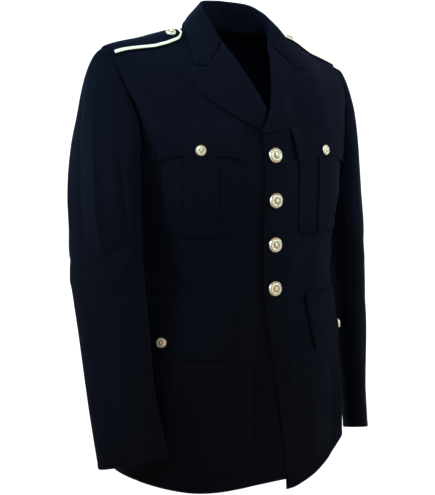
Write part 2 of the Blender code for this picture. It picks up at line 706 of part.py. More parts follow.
def collar_half():
    """Middle points of the left half of the collar, stations from the gorge to centre back."""
    neck_u, neck_v = neck_line(COLLAR_STATIONS).T
    seam = body(neck_u, neck_v)
    place = np.linspace(0, 4, COLLAR_STATIONS)
    share = (place / 4)[:, None]
    crest = smooth_rows(COLLAR_CREST, place)
    edge = smooth_rows(COLLAR_EDGE, place)
    clear = EDGE_HEIGHT + LEAF_CLEAR * eased(0.0, 0.3, share[:, 0])
    brim = over_shoulder(edge[:, 0], edge[:, 1], clear)
    brim[0] = on_front(*COLLAR_TIP, EDGE_HEIGHT, 1)
    gorge, before = (body(*seen_from_front(*ROLL_LINE[row])) for row in (-1, -2))
    _, normal = surface(body, *(np.atleast_1d(value) for value in seen_from_front(*ROLL_LINE[-1])))
    normal = normal[0]
    gorge_out = unit(np.cross(gorge - before, normal))
    turn = eased(0.0, 0.4, share)
    top = unit(-gorge_out * (1 - turn) + unit(crest - (seam + brim) / 2) * turn)
    outward = normal * (1 - turn) + unit(brim - seam) * turn
    outward = unit(outward - top * np.sum(outward * top, axis=1, keepdims=True))
    radius = CREST_RADIUS + (FOLD_RADIUS - CREST_RADIUS) * (1 - turn)
    first_heart = gorge + normal * FOLD_CENTRE
    heart = crest - top * radius
    heart = heart + (first_heart - heart[0]) * (1 - turn)
    foot = on_body(neck_u, neck_v, FOLD_LOW) + gorge_out * FOLD_LEG * (1 - eased(0.0, 0.16, share))
    rows = [foot, (foot + heart - outward * radius) / 2]
    for angle in np.radians((-90, -45, 0, 45, 90)):
        rows.append(heart + (outward * math.sin(angle) + top * math.cos(angle)) * radius)
    leaf_start = rows[-1]
    notch = on_front(*GORGE_END, EDGE_HEIGHT, 1)
    near = eased(0.30, 0.0, share)
    for part in LEAF_SHARES:
        leaf = leaf_start * (1 - part) + brim * part + outward * LEAF_BULGE * math.sin(math.pi * part)
        if part < 1:
            least = turned_height(part) * (1 - turn[:, 0]) + (EDGE_HEIGHT + LEAF_CLEAR) * turn[:, 0]
            leaf = kept_off(leaf, least)
            at = part / LEAF_SHARES[-2]
            corner = leaf_start[0] * (1 - at) + notch * at
            corner = on_front(corner[0], corner[2], turned_height(0.62 * at), 1)
            leaf = leaf + (corner - leaf[0]) * near
        rows.append(leaf)
    return np.stack(rows, axis=1)


def build_collar():
    """One folded band, the stand inside and the leaf outside, from gorge to gorge."""
    half = collar_half()
    half[-1, :, 0] = 0.0
    other = half[-2::-1] * np.array([-1.0, 1.0, 1.0])
    add_sheet("collar", np.concatenate([half, other]), TRIM_WALL, 1, CLOTH)


def add_laid(name, girth, z, low, high, side):
    """A wall that lies on the body between two heights above it."""
    u, v = girth_place(girth, z)
    flat = body(u, v)
    lift = front_lift(flat[..., 0], flat[..., 2], side)
    outer = on_body(u, v, high + lift)
    inner = on_body(u, v, low + lift)
    add_wall(name, for_side(outer, side), for_side(inner, side), CLOTH)


def build_chest_pocket(word, side):
    """A patch pocket with a raised box pleat down its middle."""
    size = CHEST_POCKET
    place = CHEST_PLACES[side]
    front = place["pleat"] - CHEST_PLEAT["half"]
    back = place["pleat"] + CHEST_PLEAT["half"]
    girth = np.concatenate([
        np.linspace(place["near"], front - CHEST_PLEAT["crease"], 5),
        np.linspace(front, back, 5),
        np.linspace(back + CHEST_PLEAT["crease"], place["far"], 5),
    ])
    raised = np.repeat([0.0, CHEST_PLEAT["rise"], 0.0], 5)
    from_side = np.minimum(girth - girth[0], girth[-1] - girth) / size["corner"]
    inset = size["corner"] * (1 - np.sqrt(1 - (1 - np.clip(from_side, 0, 1)) ** 2))
    rows = np.linspace(0, 1, 7)[:, None]
    z = (size["bottom"] + inset * 0.8) * (1 - rows) + size["top"] * rows
    low = np.full(z.shape, LAID_ON)
    add_laid(f"chest_pocket_{word}", girth + np.zeros(z.shape), z, low, low + POCKET_WALL + raised, side)


def flap_bottom(share, size):
    """Height of a flap's lower edge: two arches between its corners and its middle point."""
    straight = size["corner"] + (size["point"] - size["corner"]) * (1 - np.abs(2 * share - 1))
    return straight + size["arch"] * np.abs(np.sin(2 * np.pi * share)) ** 0.8


def build_chest_flap(word, side):
    """The chest pocket's flap, its lower edge shaped in two arches and held off by the pleat."""
    place = CHEST_PLACES[side]
    share = np.linspace(0, 1, 15)
    rows = np.array([0.0, 0.25, 0.5, 0.72, 0.86, 1.0])[:, None]
    near = place["flap_low"] * (1 - rows) + place["flap_top"] * rows
    girth = near + (place["flap_far"] - near) * share
    seam = place["seam_near"] + (place["seam_far"] - place["seam_near"]) * share
    z = flap_bottom(share, CHEST_FLAP) * (1 - rows) + seam * rows
    lean = LAID_ON + (FLAP_HEIGHT - LAID_ON) * eased(1.0, 0.74, rows) + np.zeros(z.shape)
    add_laid(f"chest_flap_{word}", girth, z, lean, lean + FLAP_WALL, side)


def build_lower_flap(word, side):
    """The lower pocket's flap, sewn along its top and a little higher at the side than in front."""
    size = LOWER_FLAP
    place = LOWER_PLACES[side]
    share = np.linspace(0, 1, 19)
    rows = np.linspace(0, 1, 5)[:, None]
    low = place["near_low"] + (place["far_low"] - place["near_low"]) * share
    top = place["near_top"] + (place["far_top"] - place["near_top"]) * share
    girth = low * (1 - rows) + top * rows
    z = flap_bottom(share, size) * (1 - rows) + size["top"] * rows + size["rise"] * share
    lean = np.full(z.shape, size["lift"])
    add_laid(f"lower_flap_{word}", girth, z, lean, lean + FLAP_WALL, side)


def loop_place(x, across, side):
    """(x, y) on a shoulder loop: x before its sleeve end is curved, across from -1 to 1."""
    plan = np.array(LOOP_PLAN)
    middle = np.interp(x, plan[:, 0], plan[:, 1])
    half = np.interp(x, plan[:, 0], plan[:, 2]) + LOOP_FULL[side]
    end = np.clip((LOOP_INNER + LOOP_ROUND - x) / LOOP_ROUND, 0, 1)
    half = half * (1 - LOOP_TAPER * end ** 2.2)
    share = (x - LOOP_INNER) / (LOOP_OUTER - LOOP_INNER)
    return np.stack([x - LOOP_HOLLOW * share * across ** 2, middle + half * across + LOOP_SET[side]], axis=-1)


def loop_edge(inset, side):
    """(x, y) from the sleeve end round the buttoned end and back, some way inside the loop's edge."""
    start = np.linspace(1.0, 0.0, 12) ** 1.4
    outer = LOOP_OUTER - BRAID_END
    x = LOOP_INNER + inset + (outer - LOOP_INNER - inset) * start
    tip = np.linspace(-1, 1, 7)[1:-1]
    front = loop_place(x, np.full(len(x), -1.0), side) + np.array([0.0, inset])
    back = loop_place(x, np.full(len(x), 1.0), side) - np.array([0.0, inset])
    end = front[-1] + (back[-1] - front[-1]) * (tip[:, None] + 1) / 2
    return np.concatenate([front, end, back[::-1]])


def build_shoulder_loop(word, side):
    """A stiff strap sewn at the sleeve and buttoned near the collar, with braid round its edge."""
    along = np.array(LOOP_ROWS)[None, :]
    across = np.linspace(-1, 1, LOOP_COLUMNS)[:, None]
    base = LOOP_INNER + (LOOP_OUTER - LOOP_INNER) * along + np.zeros(across.shape)
    x, y = np.moveaxis(loop_place(base, across + np.zeros(base.shape), side), -1, 0)
    low = over_shoulder(x, y, LOOP_LIFT)
    high = over_shoulder(x, y, LOOP_LIFT + LOOP_WALL)
    add_wall(f"shoulder_loop_{word}", for_side(high, side), for_side(low, side), CLOTH)
    rings = [loop_edge(BRAID_INSET + BRAID_WIDTH * share, side) for share in (0.0, 0.5, 1.0)]
    x, y = np.moveaxis(np.stack(rings, axis=1), -1, 0)
    on_loop = LOOP_LIFT + LOOP_WALL + BRAID_LIFT
    wall = np.array([BRAID_EDGE_WALL, BRAID_MIDDLE_WALL, BRAID_EDGE_WALL]) + np.zeros(x.shape)
    low = over_shoulder(x, y, on_loop)
    high = over_shoulder(x, y, on_loop + wall)
    add_wall(f"braid_{word}", for_side(high, side), for_side(low, side), PIPING)


def build_button(name, size, point, normal, side):
    """A domed metal button turned about its shank, its back just above the cloth."""
    mesh = bpy.data.meshes.new(name)
    shape = bmesh.new()
    corners = [shape.verts.new((radius * size / 2, 0, rise * size)) for radius, rise in BUTTON_PROFILE]
    for first, second in zip(corners, corners[1:]):
        shape.edges.new((first, second))
    shape.to_mesh(mesh)
    shape.free()
    button = add_object(name, mesh, GILT)
    turn = button.modifiers.new("turn", "SCREW")
    turn.steps = turn.render_steps = BUTTON_SIDES
    turn.use_merge_vertices = True
    turn.merge_threshold = 0.00001
    mirror = np.array([side, 1.0, 1.0])
    facing = Vector(normal * mirror)
    button.rotation_mode = "QUATERNION"
    button.rotation_quaternion = facing.to_track_quat("Z", "Y")
    button.location = Vector(settled(point * mirror)) + facing * BUTTON_SEAT


def build_buttons():
    """Four down the left front, one on each flap and one on each shoulder loop."""
    for number in range(4):
        u, v = seen_from_front(BUTTON_LINE_X, FIRST_BUTTON_Z - number * BUTTON_PITCH)
        point, normal = surface(body, u, v)
        point = point + normal * OVERLAP_LIFT
        build_button(f"front_button_{number + 1}", FRONT_BUTTON, point, normal, 1)
    for side, word in ((1, "left"), (-1, "right")):
        for name, girth, z, height in (
            ("chest_button", CHEST_PLACES[side]["button"], CHEST_BUTTON_Z, FLAP_HEIGHT + FLAP_WALL),
            ("lower_button", LOWER_PLACES[side]["button"], LOWER_BUTTON_Z, LOWER_FLAP["lift"] + FLAP_WALL),
        ):
            u, v = girth_place([girth], [z])
            point, normal = (value[0] for value in surface(body, u, v))
            build_button(f"{name}_{word}", SMALL_BUTTON, point + normal * height, normal, side)
        spot = np.array([LOOP_BUTTON[0], LOOP_BUTTON[1] + LOOP_SET[side]])
        u, v = find_on_body(*spot, [0, 1], 0.2, 8.6)
        point, normal = surface(body, u, v)
        point = point + normal * (LOOP_LIFT + LOOP_WALL)
        build_button(f"loop_button_{word}", SMALL_BUTTON, point, normal, side)


def main():
    """Every piece of the jacket, side by side."""
    for item in list(bpy.data.objects):
        bpy.data.objects.remove(item, do_unlink=True)
    collection = bpy.data.collections.new("dress_jacket")
    bpy.context.scene.collection.children.link(collection)
    for side, word in ((1, "left"), (-1, "right")):
        build_front(f"front_{word}", side)
        build_side(f"side_{word}", side)
        build_back(f"back_{word}", side)
        build_sleeve(word, side)
        build_lapel(f"lapel_{word}", side)
        build_chest_pocket(word, side)
        build_chest_flap(word, side)
        build_lower_flap(word, side)
        build_shoulder_loop(word, side)
    build_collar()
    build_buttons()


main()
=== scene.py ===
"""Looks of the military dress jacket: creased wool cloth, edge stitching, gold piping, gilt buttons.

Every cloth piece is a thin shell on the form of its solid in the frame, worked out from the same
sizes, with soft creases placed one by one. The wearer faces -Y and the wearer's left is +X.
"""
import math

import bpy
import numpy as np
from mathutils import Matrix, Vector


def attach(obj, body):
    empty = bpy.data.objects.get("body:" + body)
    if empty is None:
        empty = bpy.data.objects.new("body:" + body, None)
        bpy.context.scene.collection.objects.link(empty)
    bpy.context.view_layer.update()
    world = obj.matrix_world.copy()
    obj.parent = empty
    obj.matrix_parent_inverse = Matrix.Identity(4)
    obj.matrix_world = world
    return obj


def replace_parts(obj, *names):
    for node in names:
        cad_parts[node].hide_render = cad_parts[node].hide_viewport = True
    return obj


# Driving sizes, in metres, the same as the solids'
WALL = 0.0020
TRIM_WALL = 0.0016
LAID_ON = 0.0008
OVERLAP = 0.018
OVERLAP_LIFT = 0.0028
BREAK_LIFT = 0.0026
HEM_SWING = {1: 0.030, -1: 0.004}
BUTTON_PITCH = 0.0655
FIRST_BUTTON_Z = -0.1946
BUTTON_LINE_X = -0.0036
FRONT_BUTTON = 0.0229
SMALL_BUTTON = 0.0159

# Body levels from the hem up to the shoulder line. The last level lies along the shoulder seams.
# Columns: front_z, side_z, back_z, half_width, front_depth, back_depth, front_square, back_square, bend
BODY_LEVELS = {
    "hem": (-0.697, -0.676, -0.690, 0.196, 0.138, 0.132, 0.030, 0.010, 2.0),
    "seat": (-0.590, -0.585, -0.590, 0.191, 0.133, 0.131, 0.032, 0.010, 2.0),
    "hip": (-0.480, -0.480, -0.480, 0.182, 0.128, 0.118, 0.035, 0.015, 2.0),
    "waist": (-0.375, -0.375, -0.375, 0.163, 0.125, 0.098, 0.040, 0.015, 2.0),
    "ribs": (-0.285, -0.290, -0.285, 0.175, 0.126, 0.110, 0.035, 0.020, 2.0),
    "chest": (-0.205, -0.215, -0.205, 0.187, 0.126, 0.121, 0.030, 0.020, 2.0),
    "blade": (-0.145, -0.155, -0.140, 0.206, 0.111, 0.122, 0.030, 0.020, 2.0),
    "yoke": (-0.085, -0.105, -0.070, 0.226, 0.086, 0.110, 0.015, 0.010, 1.7),
    "slope": (-0.028, -0.068, -0.014, 0.235, 0.050, 0.076, 0.0, 0.0, 1.4),
    "shoulder": (0.014, -0.050, 0.014, 0.235, 0.0, 0.0, 0.0, 0.0, 1.3),
}
TOP = len(BODY_LEVELS) - 1
CHEST = list(BODY_LEVELS).index("chest")
SHOULDER_LEVEL = TOP - 0.01

# Side seams, as shares of the half ring from centre front to centre back
FRONT_SEAM = 0.42
BACK_SEAM = 0.60
SEAM_TURN = -60.0
CENTRE_GAP = 0.0002

# The armhole: turn of the sleeve, share of the half ring from its own centre, body level
FRONT_ARMHOLE = (
    (-90, 0.500, 4.96),
    (-60, 0.425, 5.12),
    (-30, 0.368, 5.55),
    (0, 0.345, 6.15),
    (30, 0.348, 7.05),
    (60, 0.358, 8.05),
    (90, 0.374, 9.0),
)
BACK_ARMHOLE = (
    (90, 0.374, 9.0),
    (120, 0.362, 8.05),
    (150, 0.356, 7.05),
    (180, 0.360, 6.20),
    (210, 0.378, 5.60),
    (240, 0.410, 5.18),
    (270, 0.500, 4.96),
)

# Sleeve levels below the cap. Columns: z, x, y, half_thick, half_wide, turn inward, rise of the front edge
SLEEVE_LEVELS = {
    "upper": (-0.265, 0.2220, -0.010, 0.036, 0.0650, 17.0, 0.002),
    "elbow": (-0.355, 0.2230, -0.020, 0.032, 0.0640, 21.0, 0.005),
    "forearm": (-0.455, 0.2205, -0.033, 0.026, 0.0600, 27.0, 0.009),
    "wrist": (-0.553, 0.2170, -0.046, 0.020, 0.0560, 31.0, 0.013),
    "cuff": (-0.637, 0.2070, -0.068, 0.017, 0.0570, 33.0, 0.016),
}
CUFF = len(SLEEVE_LEVELS)
CAP_LEAN = 4.0
CAP_TURN = 150.0
CAP_REACH = {1: 0.076, -1: 0.110}
SEAM_RUN = 8.0
UNDERARM_REACH = 0.03
CAP_STRETCH = 1.3
SEAM_STEP = 0.0007
SEAM_LIFT = 0.0020
SLEEVE_SEAMS = (-15, 210)
HALF_SEAM = 0.12
# How far the outer face stands out or in, from the cuff up, and how much lower the cuff hangs
OUTER_FACE = {1: (0.004, 0.002, -0.001, -0.007, -0.015), -1: (0.008, 0.0, 0.003, 0.0085, 0.002)}
CUFF_DROP = {1: 0.0075, -1: 0.0}

# How the shoulders sit: change of height, where it starts and is full outwards, and upwards
SHOULDER_SET = {1: (-0.0086, 0.110, 0.160), -1: (0.0047, 0.150, 0.210)}
SET_FROM_Z = -0.300
SET_FULL_Z = -0.050

# Front edge above the break, as (x, z) seen from the front, from the break to the side neck
ROLL_LINE = (
    (-0.0180, -0.166),
    (0.0000, -0.1400),
    (0.0129, -0.112),
    (0.0240, -0.085),
    (0.0334, -0.062),
    (0.0458, -0.030),
)
GORGE_END = (0.083, -0.0655)
LAPEL_TIP = (0.128, -0.073)
COLLAR_TIP = (0.101, -0.062)
LAPEL_EDGE = ((0.128, -0.073), (0.1170, -0.089), (0.090, -0.118), (0.0472, -0.144))
LAPEL_END = {1: (0.0180, -0.1575), -1: (0.0195, -0.1585)}
BREAK_Z = {1: -0.1640, -1: -0.1290}
EDGE_SET_BACK = 0.0034
NECK_SET_BACK = 0.0044
BACK_NECK_GAP = 0.0022
NECK_HALF = 0.0725
NAPE_LEVEL = 8.55

# Lapel and collar rolls
UNDER_GAP = 0.0009
FOLD_LOW = -(WALL + UNDER_GAP + TRIM_WALL / 2)
ROLL_HEIGHT = 0.0042
EDGE_HEIGHT = LAID_ON + TRIM_WALL / 2
FOLD_RADIUS = (ROLL_HEIGHT - FOLD_LOW) / 2
FOLD_CENTRE = (ROLL_HEIGHT + FOLD_LOW) / 2
FOLD_LEG = 0.004

# Collar stations from the gorge round to the nape: the fold's top, and the leaf's edge in plan
COLLAR_CREST = (
    (0.0458, -0.0565, -0.0300),
    (0.0554, -0.0388, 0.0004),
    (0.0567, -0.0158, 0.0222),
    (0.0433, 0.0069, 0.0393),
    (0.0, 0.0250, 0.0454),
)
COLLAR_EDGE = (
    (0.1010, -0.0700),
    (0.0955, -0.0360),
    (0.0815, -0.0010),
    (0.0535, 0.0425),
    (0.0, 0.0630),
)
CREST_RADIUS = 0.0033
LEAF_CLEAR = 0.0022
LEAF_BULGE = 0.0030

# Pockets and flaps: distances by tape from centre front for each side, then heights
CHEST_PLACES = {
    1: {"near": 0.0435, "far": 0.1630, "pleat": 0.1065, "flap_top": 0.0300, "flap_low": 0.0385,
        "flap_far": 0.1640, "button": 0.1000, "seam_near": -0.1550, "seam_far": -0.1400},
    -1: {"near": 0.0565, "far": 0.1765, "pleat": 0.1200, "flap_top": 0.0520, "flap_low": 0.0555,
         "flap_far": 0.1800, "button": 0.1208, "seam_near": -0.1460, "seam_far": -0.1460},
}
LOWER_PLACES = {
    1: {"near_top": 0.0570, "near_low": 0.0790, "far_top": 0.2610, "far_low": 0.2630, "button": 0.1700},
    -1: {"near_top": 0.0680, "near_low": 0.0875, "far_top": 0.2700, "far_low": 0.2720, "button": 0.1785},
}
CHEST_POCKET = {"top": -0.167, "bottom": -0.311, "corner": 0.014}
CHEST_PLEAT = {"half": 0.0225, "rise": 0.0012, "crease": 0.0014}
CHEST_FLAP = {"corner": -0.2035, "point": -0.2005, "arch": 0.0060}
LOWER_FLAP = {
    "top": -0.4045, "corner": -0.4925, "point": -0.4935, "arch": 0.0015, "rise": 0.0110, "lift": 0.0014,
}
CHEST_BUTTON_Z = -0.187
LOWER_BUTTON_Z = -0.4655
POCKET_WALL = 0.0014
POCKET_PUFF = 0.0012
FLAP_WALL = 0.0016
FLAP_HEIGHT = 0.0036
FLAP_DIMPLE = 0.0008
DIMPLE_REACH = 0.013

# Shoulder loop in plan: distance out from centre, its middle line, half its width
LOOP_PLAN = (
    (0.0960, -0.0150, 0.0140),
    (0.1120, -0.0145, 0.0150),
    (0.1300, -0.0125, 0.0180),
    (0.1485, -0.0092, 0.0202),
    (0.1644, -0.0052, 0.0212),
    (0.1843, -0.0012, 0.0220),
    (0.2140, 0.0045, 0.0229),
)
LOOP_INNER = LOOP_PLAN[0][0]
LOOP_OUTER = LOOP_PLAN[-1][0]
LOOP_ROUND = 0.017
LOOP_TAPER = 0.72
LOOP_HOLLOW = 0.0062
LOOP_SET = {1: 0.0140, -1: 0.0}
LOOP_FULL = {1: -0.0035, -1: 0.0}
LOOP_LIFT = 0.0013
LOOP_WALL = 0.0018
LOOP_CROWN = 0.0008
LOOP_BUTTON = (0.1140, -0.0160)
BRAID_WIDTH = 0.0036
BRAID_INSET = 0.0003
BRAID_RISE = 0.0017
BRAID_END = 0.0008

# Creases of the body. Columns: side (0 is both), u_1, v_1, u_2, v_2, bow, width, depth
BODY_CREASES = (
    (0, 0.335, 6.90, 0.385, 5.25, 0.012, 0.013, -0.0026),
    (0, 0.250, 6.60, 0.330, 5.30, 0.010, 0.016, 0.0012),
    (-1, 0.350, 4.75, 0.130, 3.35, 0.020, 0.011, 0.0014),
    (-1, 0.330, 4.25, 0.170, 3.20, 0.014, 0.009, -0.0015),
    (-1, 0.400, 3.60, 0.215, 3.05, 0.012, 0.010, 0.0014),
    (-1, 0.410, 3.22, 0.235, 2.78, 0.010, 0.008, -0.0018),
    (-1, 0.385, 2.80, 0.280, 2.50, 0.006, 0.009, 0.0010),
    (-1, 0.300, 2.05, 0.275, 0.10, 0.012, 0.020, 0.0024),
    (-1, 0.235, 1.75, 0.222, 0.05, -0.008, 0.014, -0.0017),
    (-1, 0.155, 1.30, 0.150, 0.00, 0.006, 0.022, 0.0016),
    (-1, 0.052, 5.00, 0.046, 0.80, -0.004, 0.012, -0.0026),
    (-1, 0.058, 2.40, 0.060, 0.02, 0.004, 0.017, -0.0034),
    (-1, 0.075, 4.10, 0.160, 3.60, 0.008, 0.008, -0.0009),
    (1, 0.345, 4.80, 0.150, 3.55, 0.018, 0.011, 0.0013),
    (1, 0.370, 4.35, 0.180, 3.30, 0.012, 0.010, -0.0017),
    (1, 0.395, 3.70, 0.260, 3.10, 0.010, 0.009, 0.0013),
    (1, 0.140, 3.90, 0.030, 3.65, 0.006, 0.007, -0.0009),
    (1, 0.090, 3.30, 0.000, 3.10, 0.005, 0.009, 0.0009),
    (1, 0.400, 2.95, 0.250, 2.70, 0.008, 0.008, -0.0014),
    (1, 0.290, 1.95, 0.270, 0.10, -0.010, 0.019, 0.0022),
    (1, 0.205, 1.80, 0.190, 0.15, 0.008, 0.015, -0.0017),
    (1, 0.110, 1.60, 0.100, 0.05, 0.006, 0.021, 0.0016),
    (1, 0.030, 1.10, 0.035, 0.10, 0.004, 0.014, -0.0011),
    (0, 0.480, 4.60, 0.500, 2.90, 0.014, 0.012, 0.0015),
    (0, 0.540, 4.30, 0.520, 3.10, -0.010, 0.011, -0.0018),
    (0, 0.560, 2.40, 0.550, 0.20, 0.012, 0.020, 0.0024),
    (0, 0.655, 7.30, 0.640, 5.30, 0.014, 0.018, 0.0028),
    (0, 0.700, 6.60, 0.665, 5.10, -0.010, 0.013, -0.0020),
    (1, 0.985, 8.15, 0.820, 8.05, 0.010, 0.010, -0.0013),
    (-1, 0.985, 8.10, 0.790, 7.90, 0.014, 0.011, -0.0012),
    (1, 0.960, 3.35, 0.720, 2.95, 0.020, 0.013, -0.0022),
    (-1, 0.980, 3.15, 0.740, 3.20, -0.020, 0.012, -0.0020),
    (1, 0.930, 3.75, 0.700, 3.60, 0.012, 0.011, 0.0014),
    (-1, 0.950, 3.60, 0.720, 3.85, 0.012, 0.012, 0.0015),
    (1, 0.800, 2.10, 0.810, 0.10, 0.012, 0.022, 0.0028),
    (-1, 0.770, 2.00, 0.785, 0.15, -0.010, 0.020, 0.0026),
    (1, 0.890, 1.70, 0.900, 0.10, 0.008, 0.017, -0.0018),
    (-1, 0.870, 1.60, 0.880, 0.05, -0.010, 0.018, -0.0019),
)

# Creases of the sleeves. Columns: side, turn_1, place_1, turn_2, place_2, bow, width, depth
SLEEVE_CREASES = (
    (-1, 64.0, 4.90, 58.0, 2.90, 10.0, 0.011, 0.0036),
    (-1, 30.0, 4.70, 34.0, 3.30, -6.0, 0.011, -0.0026),
    (-1, 100.0, 4.75, 92.0, 3.20, 8.0, 0.013, -0.0026),
    (-1, 150.0, 4.70, 138.0, 3.60, -6.0, 0.012, 0.0020),
    (-1, 20.0, 3.30, 78.0, 3.02, 0.10, 0.008, -0.0020),
    (-1, 14.0, 3.05, 62.0, 2.70, 0.08, 0.009, 0.0016),
    (-1, 30.0, 2.72, 88.0, 2.52, -0.08, 0.008, -0.0014),
    (-1, 122.0, 3.25, 176.0, 3.00, 0.10, 0.011, -0.0010),
    (-1, 128.0, 2.90, 172.0, 2.75, -0.06, 0.011, 0.0008),
    (-1, 60.0, 2.30, 70.0, 0.80, 6.0, 0.014, 0.0014),
    (-1, 110.0, 2.00, 100.0, 0.60, -6.0, 0.014, -0.0014),
    (-1, -40.0, 3.50, -80.0, 3.10, 0.10, 0.009, -0.0016),
    (1, 52.0, 4.75, 48.0, 3.20, 8.0, 0.009, 0.0020),
    (1, 12.0, 4.60, 14.0, 3.40, -5.0, 0.009, -0.0008),
    (1, 96.0, 4.75, 100.0, 3.30, -8.0, 0.012, -0.0018),
    (1, 140.0, 4.65, 132.0, 3.50, 8.0, 0.012, 0.0020),
    (1, -6.0, 3.42, 50.0, 3.16, 0.08, 0.009, -0.0010),
    (1, -2.0, 3.12, 52.0, 2.90, -0.06, 0.009, 0.0007),
    (1, 4.0, 2.80, 48.0, 2.64, 0.05, 0.008, -0.0008),
    (1, 112.0, 3.30, 168.0, 3.12, 0.08, 0.010, -0.0018),
    (1, 116.0, 2.88, 160.0, 2.70, 0.06, 0.010, 0.0015),
    (1, 58.0, 2.20, 50.0, 0.70, -6.0, 0.013, 0.0014),
    (1, 104.0, 1.90, 112.0, 0.60, 6.0, 0.014, -0.0013),
    (1, -42.0, 3.40, -78.0, 3.05, 0.08, 0.009, -0.0016),
)
CREASE_POINTS = 9
HEM_SHARES = (0.0, 0.002, 0.005, 0.009)
SHARPER = 0.42
FOLD_DEPTH = 1.8

# Finish of seams and edges
SEAM_SINK = 0.0011
SEAM_WIDTH = 0.0016
EDGE_SINK = 0.0004
EDGE_SWELL = 0.0004
EDGE_BAND = 0.006
EDGE_TURN = 0.0011
INNER_SHARE = 0.3
PANEL_GAP = 0.0004
ROUND_EDGE = 0.9
STITCH = {"length": 0.0023, "gap": 0.0010, "half": 0.00026}
PURL = {"length": 0.0011, "gap": 0.0001, "half": 0.00042}
STITCH_INSET = 0.0055
TRIM_STITCH_INSET = 0.0022
LEAST_FILL = 0.31

# Buttons: profile as (radius, height), in shares of the half width and of the width, and the relief
BUTTON_SEAT = 0.0004
BUTTON_DOME = ((0.00, 0.262), (0.35, 0.250), (0.62, 0.222), (0.80, 0.186), (0.88, 0.168))
BUTTON_BACK = ((1.00, 0.120), (0.97, 0.070), (0.90, 0.048), (0.36, 0.035), (0.31, 0.0), (0.0, 0.0))
BUTTON_TURNS = 120
RAYS = 8
LEAVES = 20
RELIEF = 0.048

# Camera and picture
PICTURE_HEIGHT = 495
FOCAL_PIXELS = 1079.0
SENSOR = 24.0
CAMERA_YAW = math.radians(33.2)
CAMERA_PITCH = math.radians(5.49)
CAMERA_DISTANCE = 1.70
CAMERA_ASIDE = -0.017
CAMERA_HEIGHT = -0.177
FLOOR_Z = -1.02

# Colours
CLOTH_COLOUR = (0.0027, 0.0026, 0.0032)
THREAD_COLOUR = (0.0031, 0.0030, 0.0037)
MOTTLE = 0.28
SHEEN_TINT = (0.36, 0.50, 0.86, 1.0)
# Gilt: a darker brown painted into the hollows of the button relief as shade, and pale gold for its high
# points
GILT_HOLLOW_SHADE = (0.36, 0.20, 0.05)
GILT_HIGH = (1.0, 0.88, 0.56)
# Braid: a darker tone painted into the grooves between its turns as shade, and the pale gold of the thread
BRAID_GROOVE_SHADE = (0.66, 0.42, 0.13)
BRAID_HIGH = (1.0, 0.84, 0.46)
BLUE = (0.20, 0.47, 1.0)
WHITE = (1.0, 1.0, 1.0)

# Lights. Columns: name, place, target, size, power, colour, spread of the beam in degrees
ROOM_LIGHT = 0.85
LIGHTS = (
    ("key", (-0.55, -1.25, 0.75), (0.0, -0.05, 0.34), (0.9, 0.6), 6.8, BLUE, 62),
    ("side", (-1.5, 0.05, 0.40), (-0.2, -0.05, 0.10), (0.5, 0.7), 8.6, BLUE, 60),
    ("far", (1.3, -0.8, 0.15), (0.2, -0.05, -0.05), (0.5, 0.6), 2.8, BLUE, 60),
    ("rear", (0.5, 1.5, 1.35), (0.0, 0.05, 0.10), (0.9, 0.6), 5.0, BLUE, 70),
    ("backdrop", (0.4, 1.2, 1.6), (1.6, 3.6, 0.3), (2.0, 1.6), 60, WHITE, 180),
)


def smooth_rows(rows, place, level_end=0):
    """Cubic curve through the rows of a table; level_end names columns that arrive flat."""
    rows = np.asarray(rows, float)
    slopes = np.gradient(rows, axis=0)
    slopes[-1, :level_end] = 0.0
    place = np.clip(np.asarray(place, float), 0.0, len(rows) - 1.0)
    low = np.minimum(place.astype(int), len(rows) - 2)
    t = (place - low)[..., None]
    return (
        rows[low] * (1 + 2 * t) * (1 - t) ** 2
        + slopes[low] * t * (1 - t) ** 2
        + rows[low + 1] * t * t * (3 - 2 * t)
        - slopes[low + 1] * t * t * (1 - t)
    )


def smooth_points(points, count):
    """Points evenly spaced by row along a smooth curve through a few given ones."""
    return smooth_rows(points, np.linspace(0, len(points) - 1, count))


def eased(low, high, value):
    """0 at low, 1 at high, smooth between."""
    t = np.clip((value - low) / (high - low), 0.0, 1.0)
    return t * t * (3 - 2 * t)


def bump(distance, width):
    """1 at a distance of 0, falling off smoothly."""
    return np.exp(-((distance / width) ** 2))


def unit(vectors):
    """The vectors at length 1."""
    return vectors / np.maximum(np.linalg.norm(vectors, axis=-1, keepdims=True), 1e-12)


def dense_ends(count, near=0.006, steps=3):
    """Shares from 0 to 1, with a few close steps at both ends."""
    few = near * np.linspace(0, 1, steps + 1)[:-1]
    return np.concatenate([few, np.linspace(near, 1 - near, count), 1 - few[::-1]])


def body(u, v):
    """The outer face of the left half: u from centre front, 0, to centre back, 1; v by level."""
    columns = smooth_rows(list(BODY_LEVELS.values()), v, level_end=3)
    front_z, side_z, back_z, width, front, back, front_square, back_square, bend = np.moveaxis(
        columns, -1, 0
    )
    turn = np.pi * u
    behind = u > 0.5
    square = np.where(behind, back_square, front_square)
    depth = np.where(behind, back, front)
    crown = np.where(behind, back_z, front_z) - side_z
    x = width * (np.sin(turn) + square * np.sin(3 * turn)) / (1 - square)
    y = -depth * (np.cos(turn) - square * np.cos(3 * turn)) / (1 - square)
    z = side_z + crown * (1 - np.abs(np.sin(turn)) ** bend)
    return np.stack([x, y, z], axis=-1)


def surface(point_at, a, b, a_step=1e-4, b_step=1e-3):
    """Points of a surface and its outward unit normals."""
    across = point_at(a + a_step, b) - point_at(a - a_step, b)
    along = point_at(a, b + b_step) - point_at(a, b - b_step)
    return point_at(a, b), unit(np.cross(across, along))


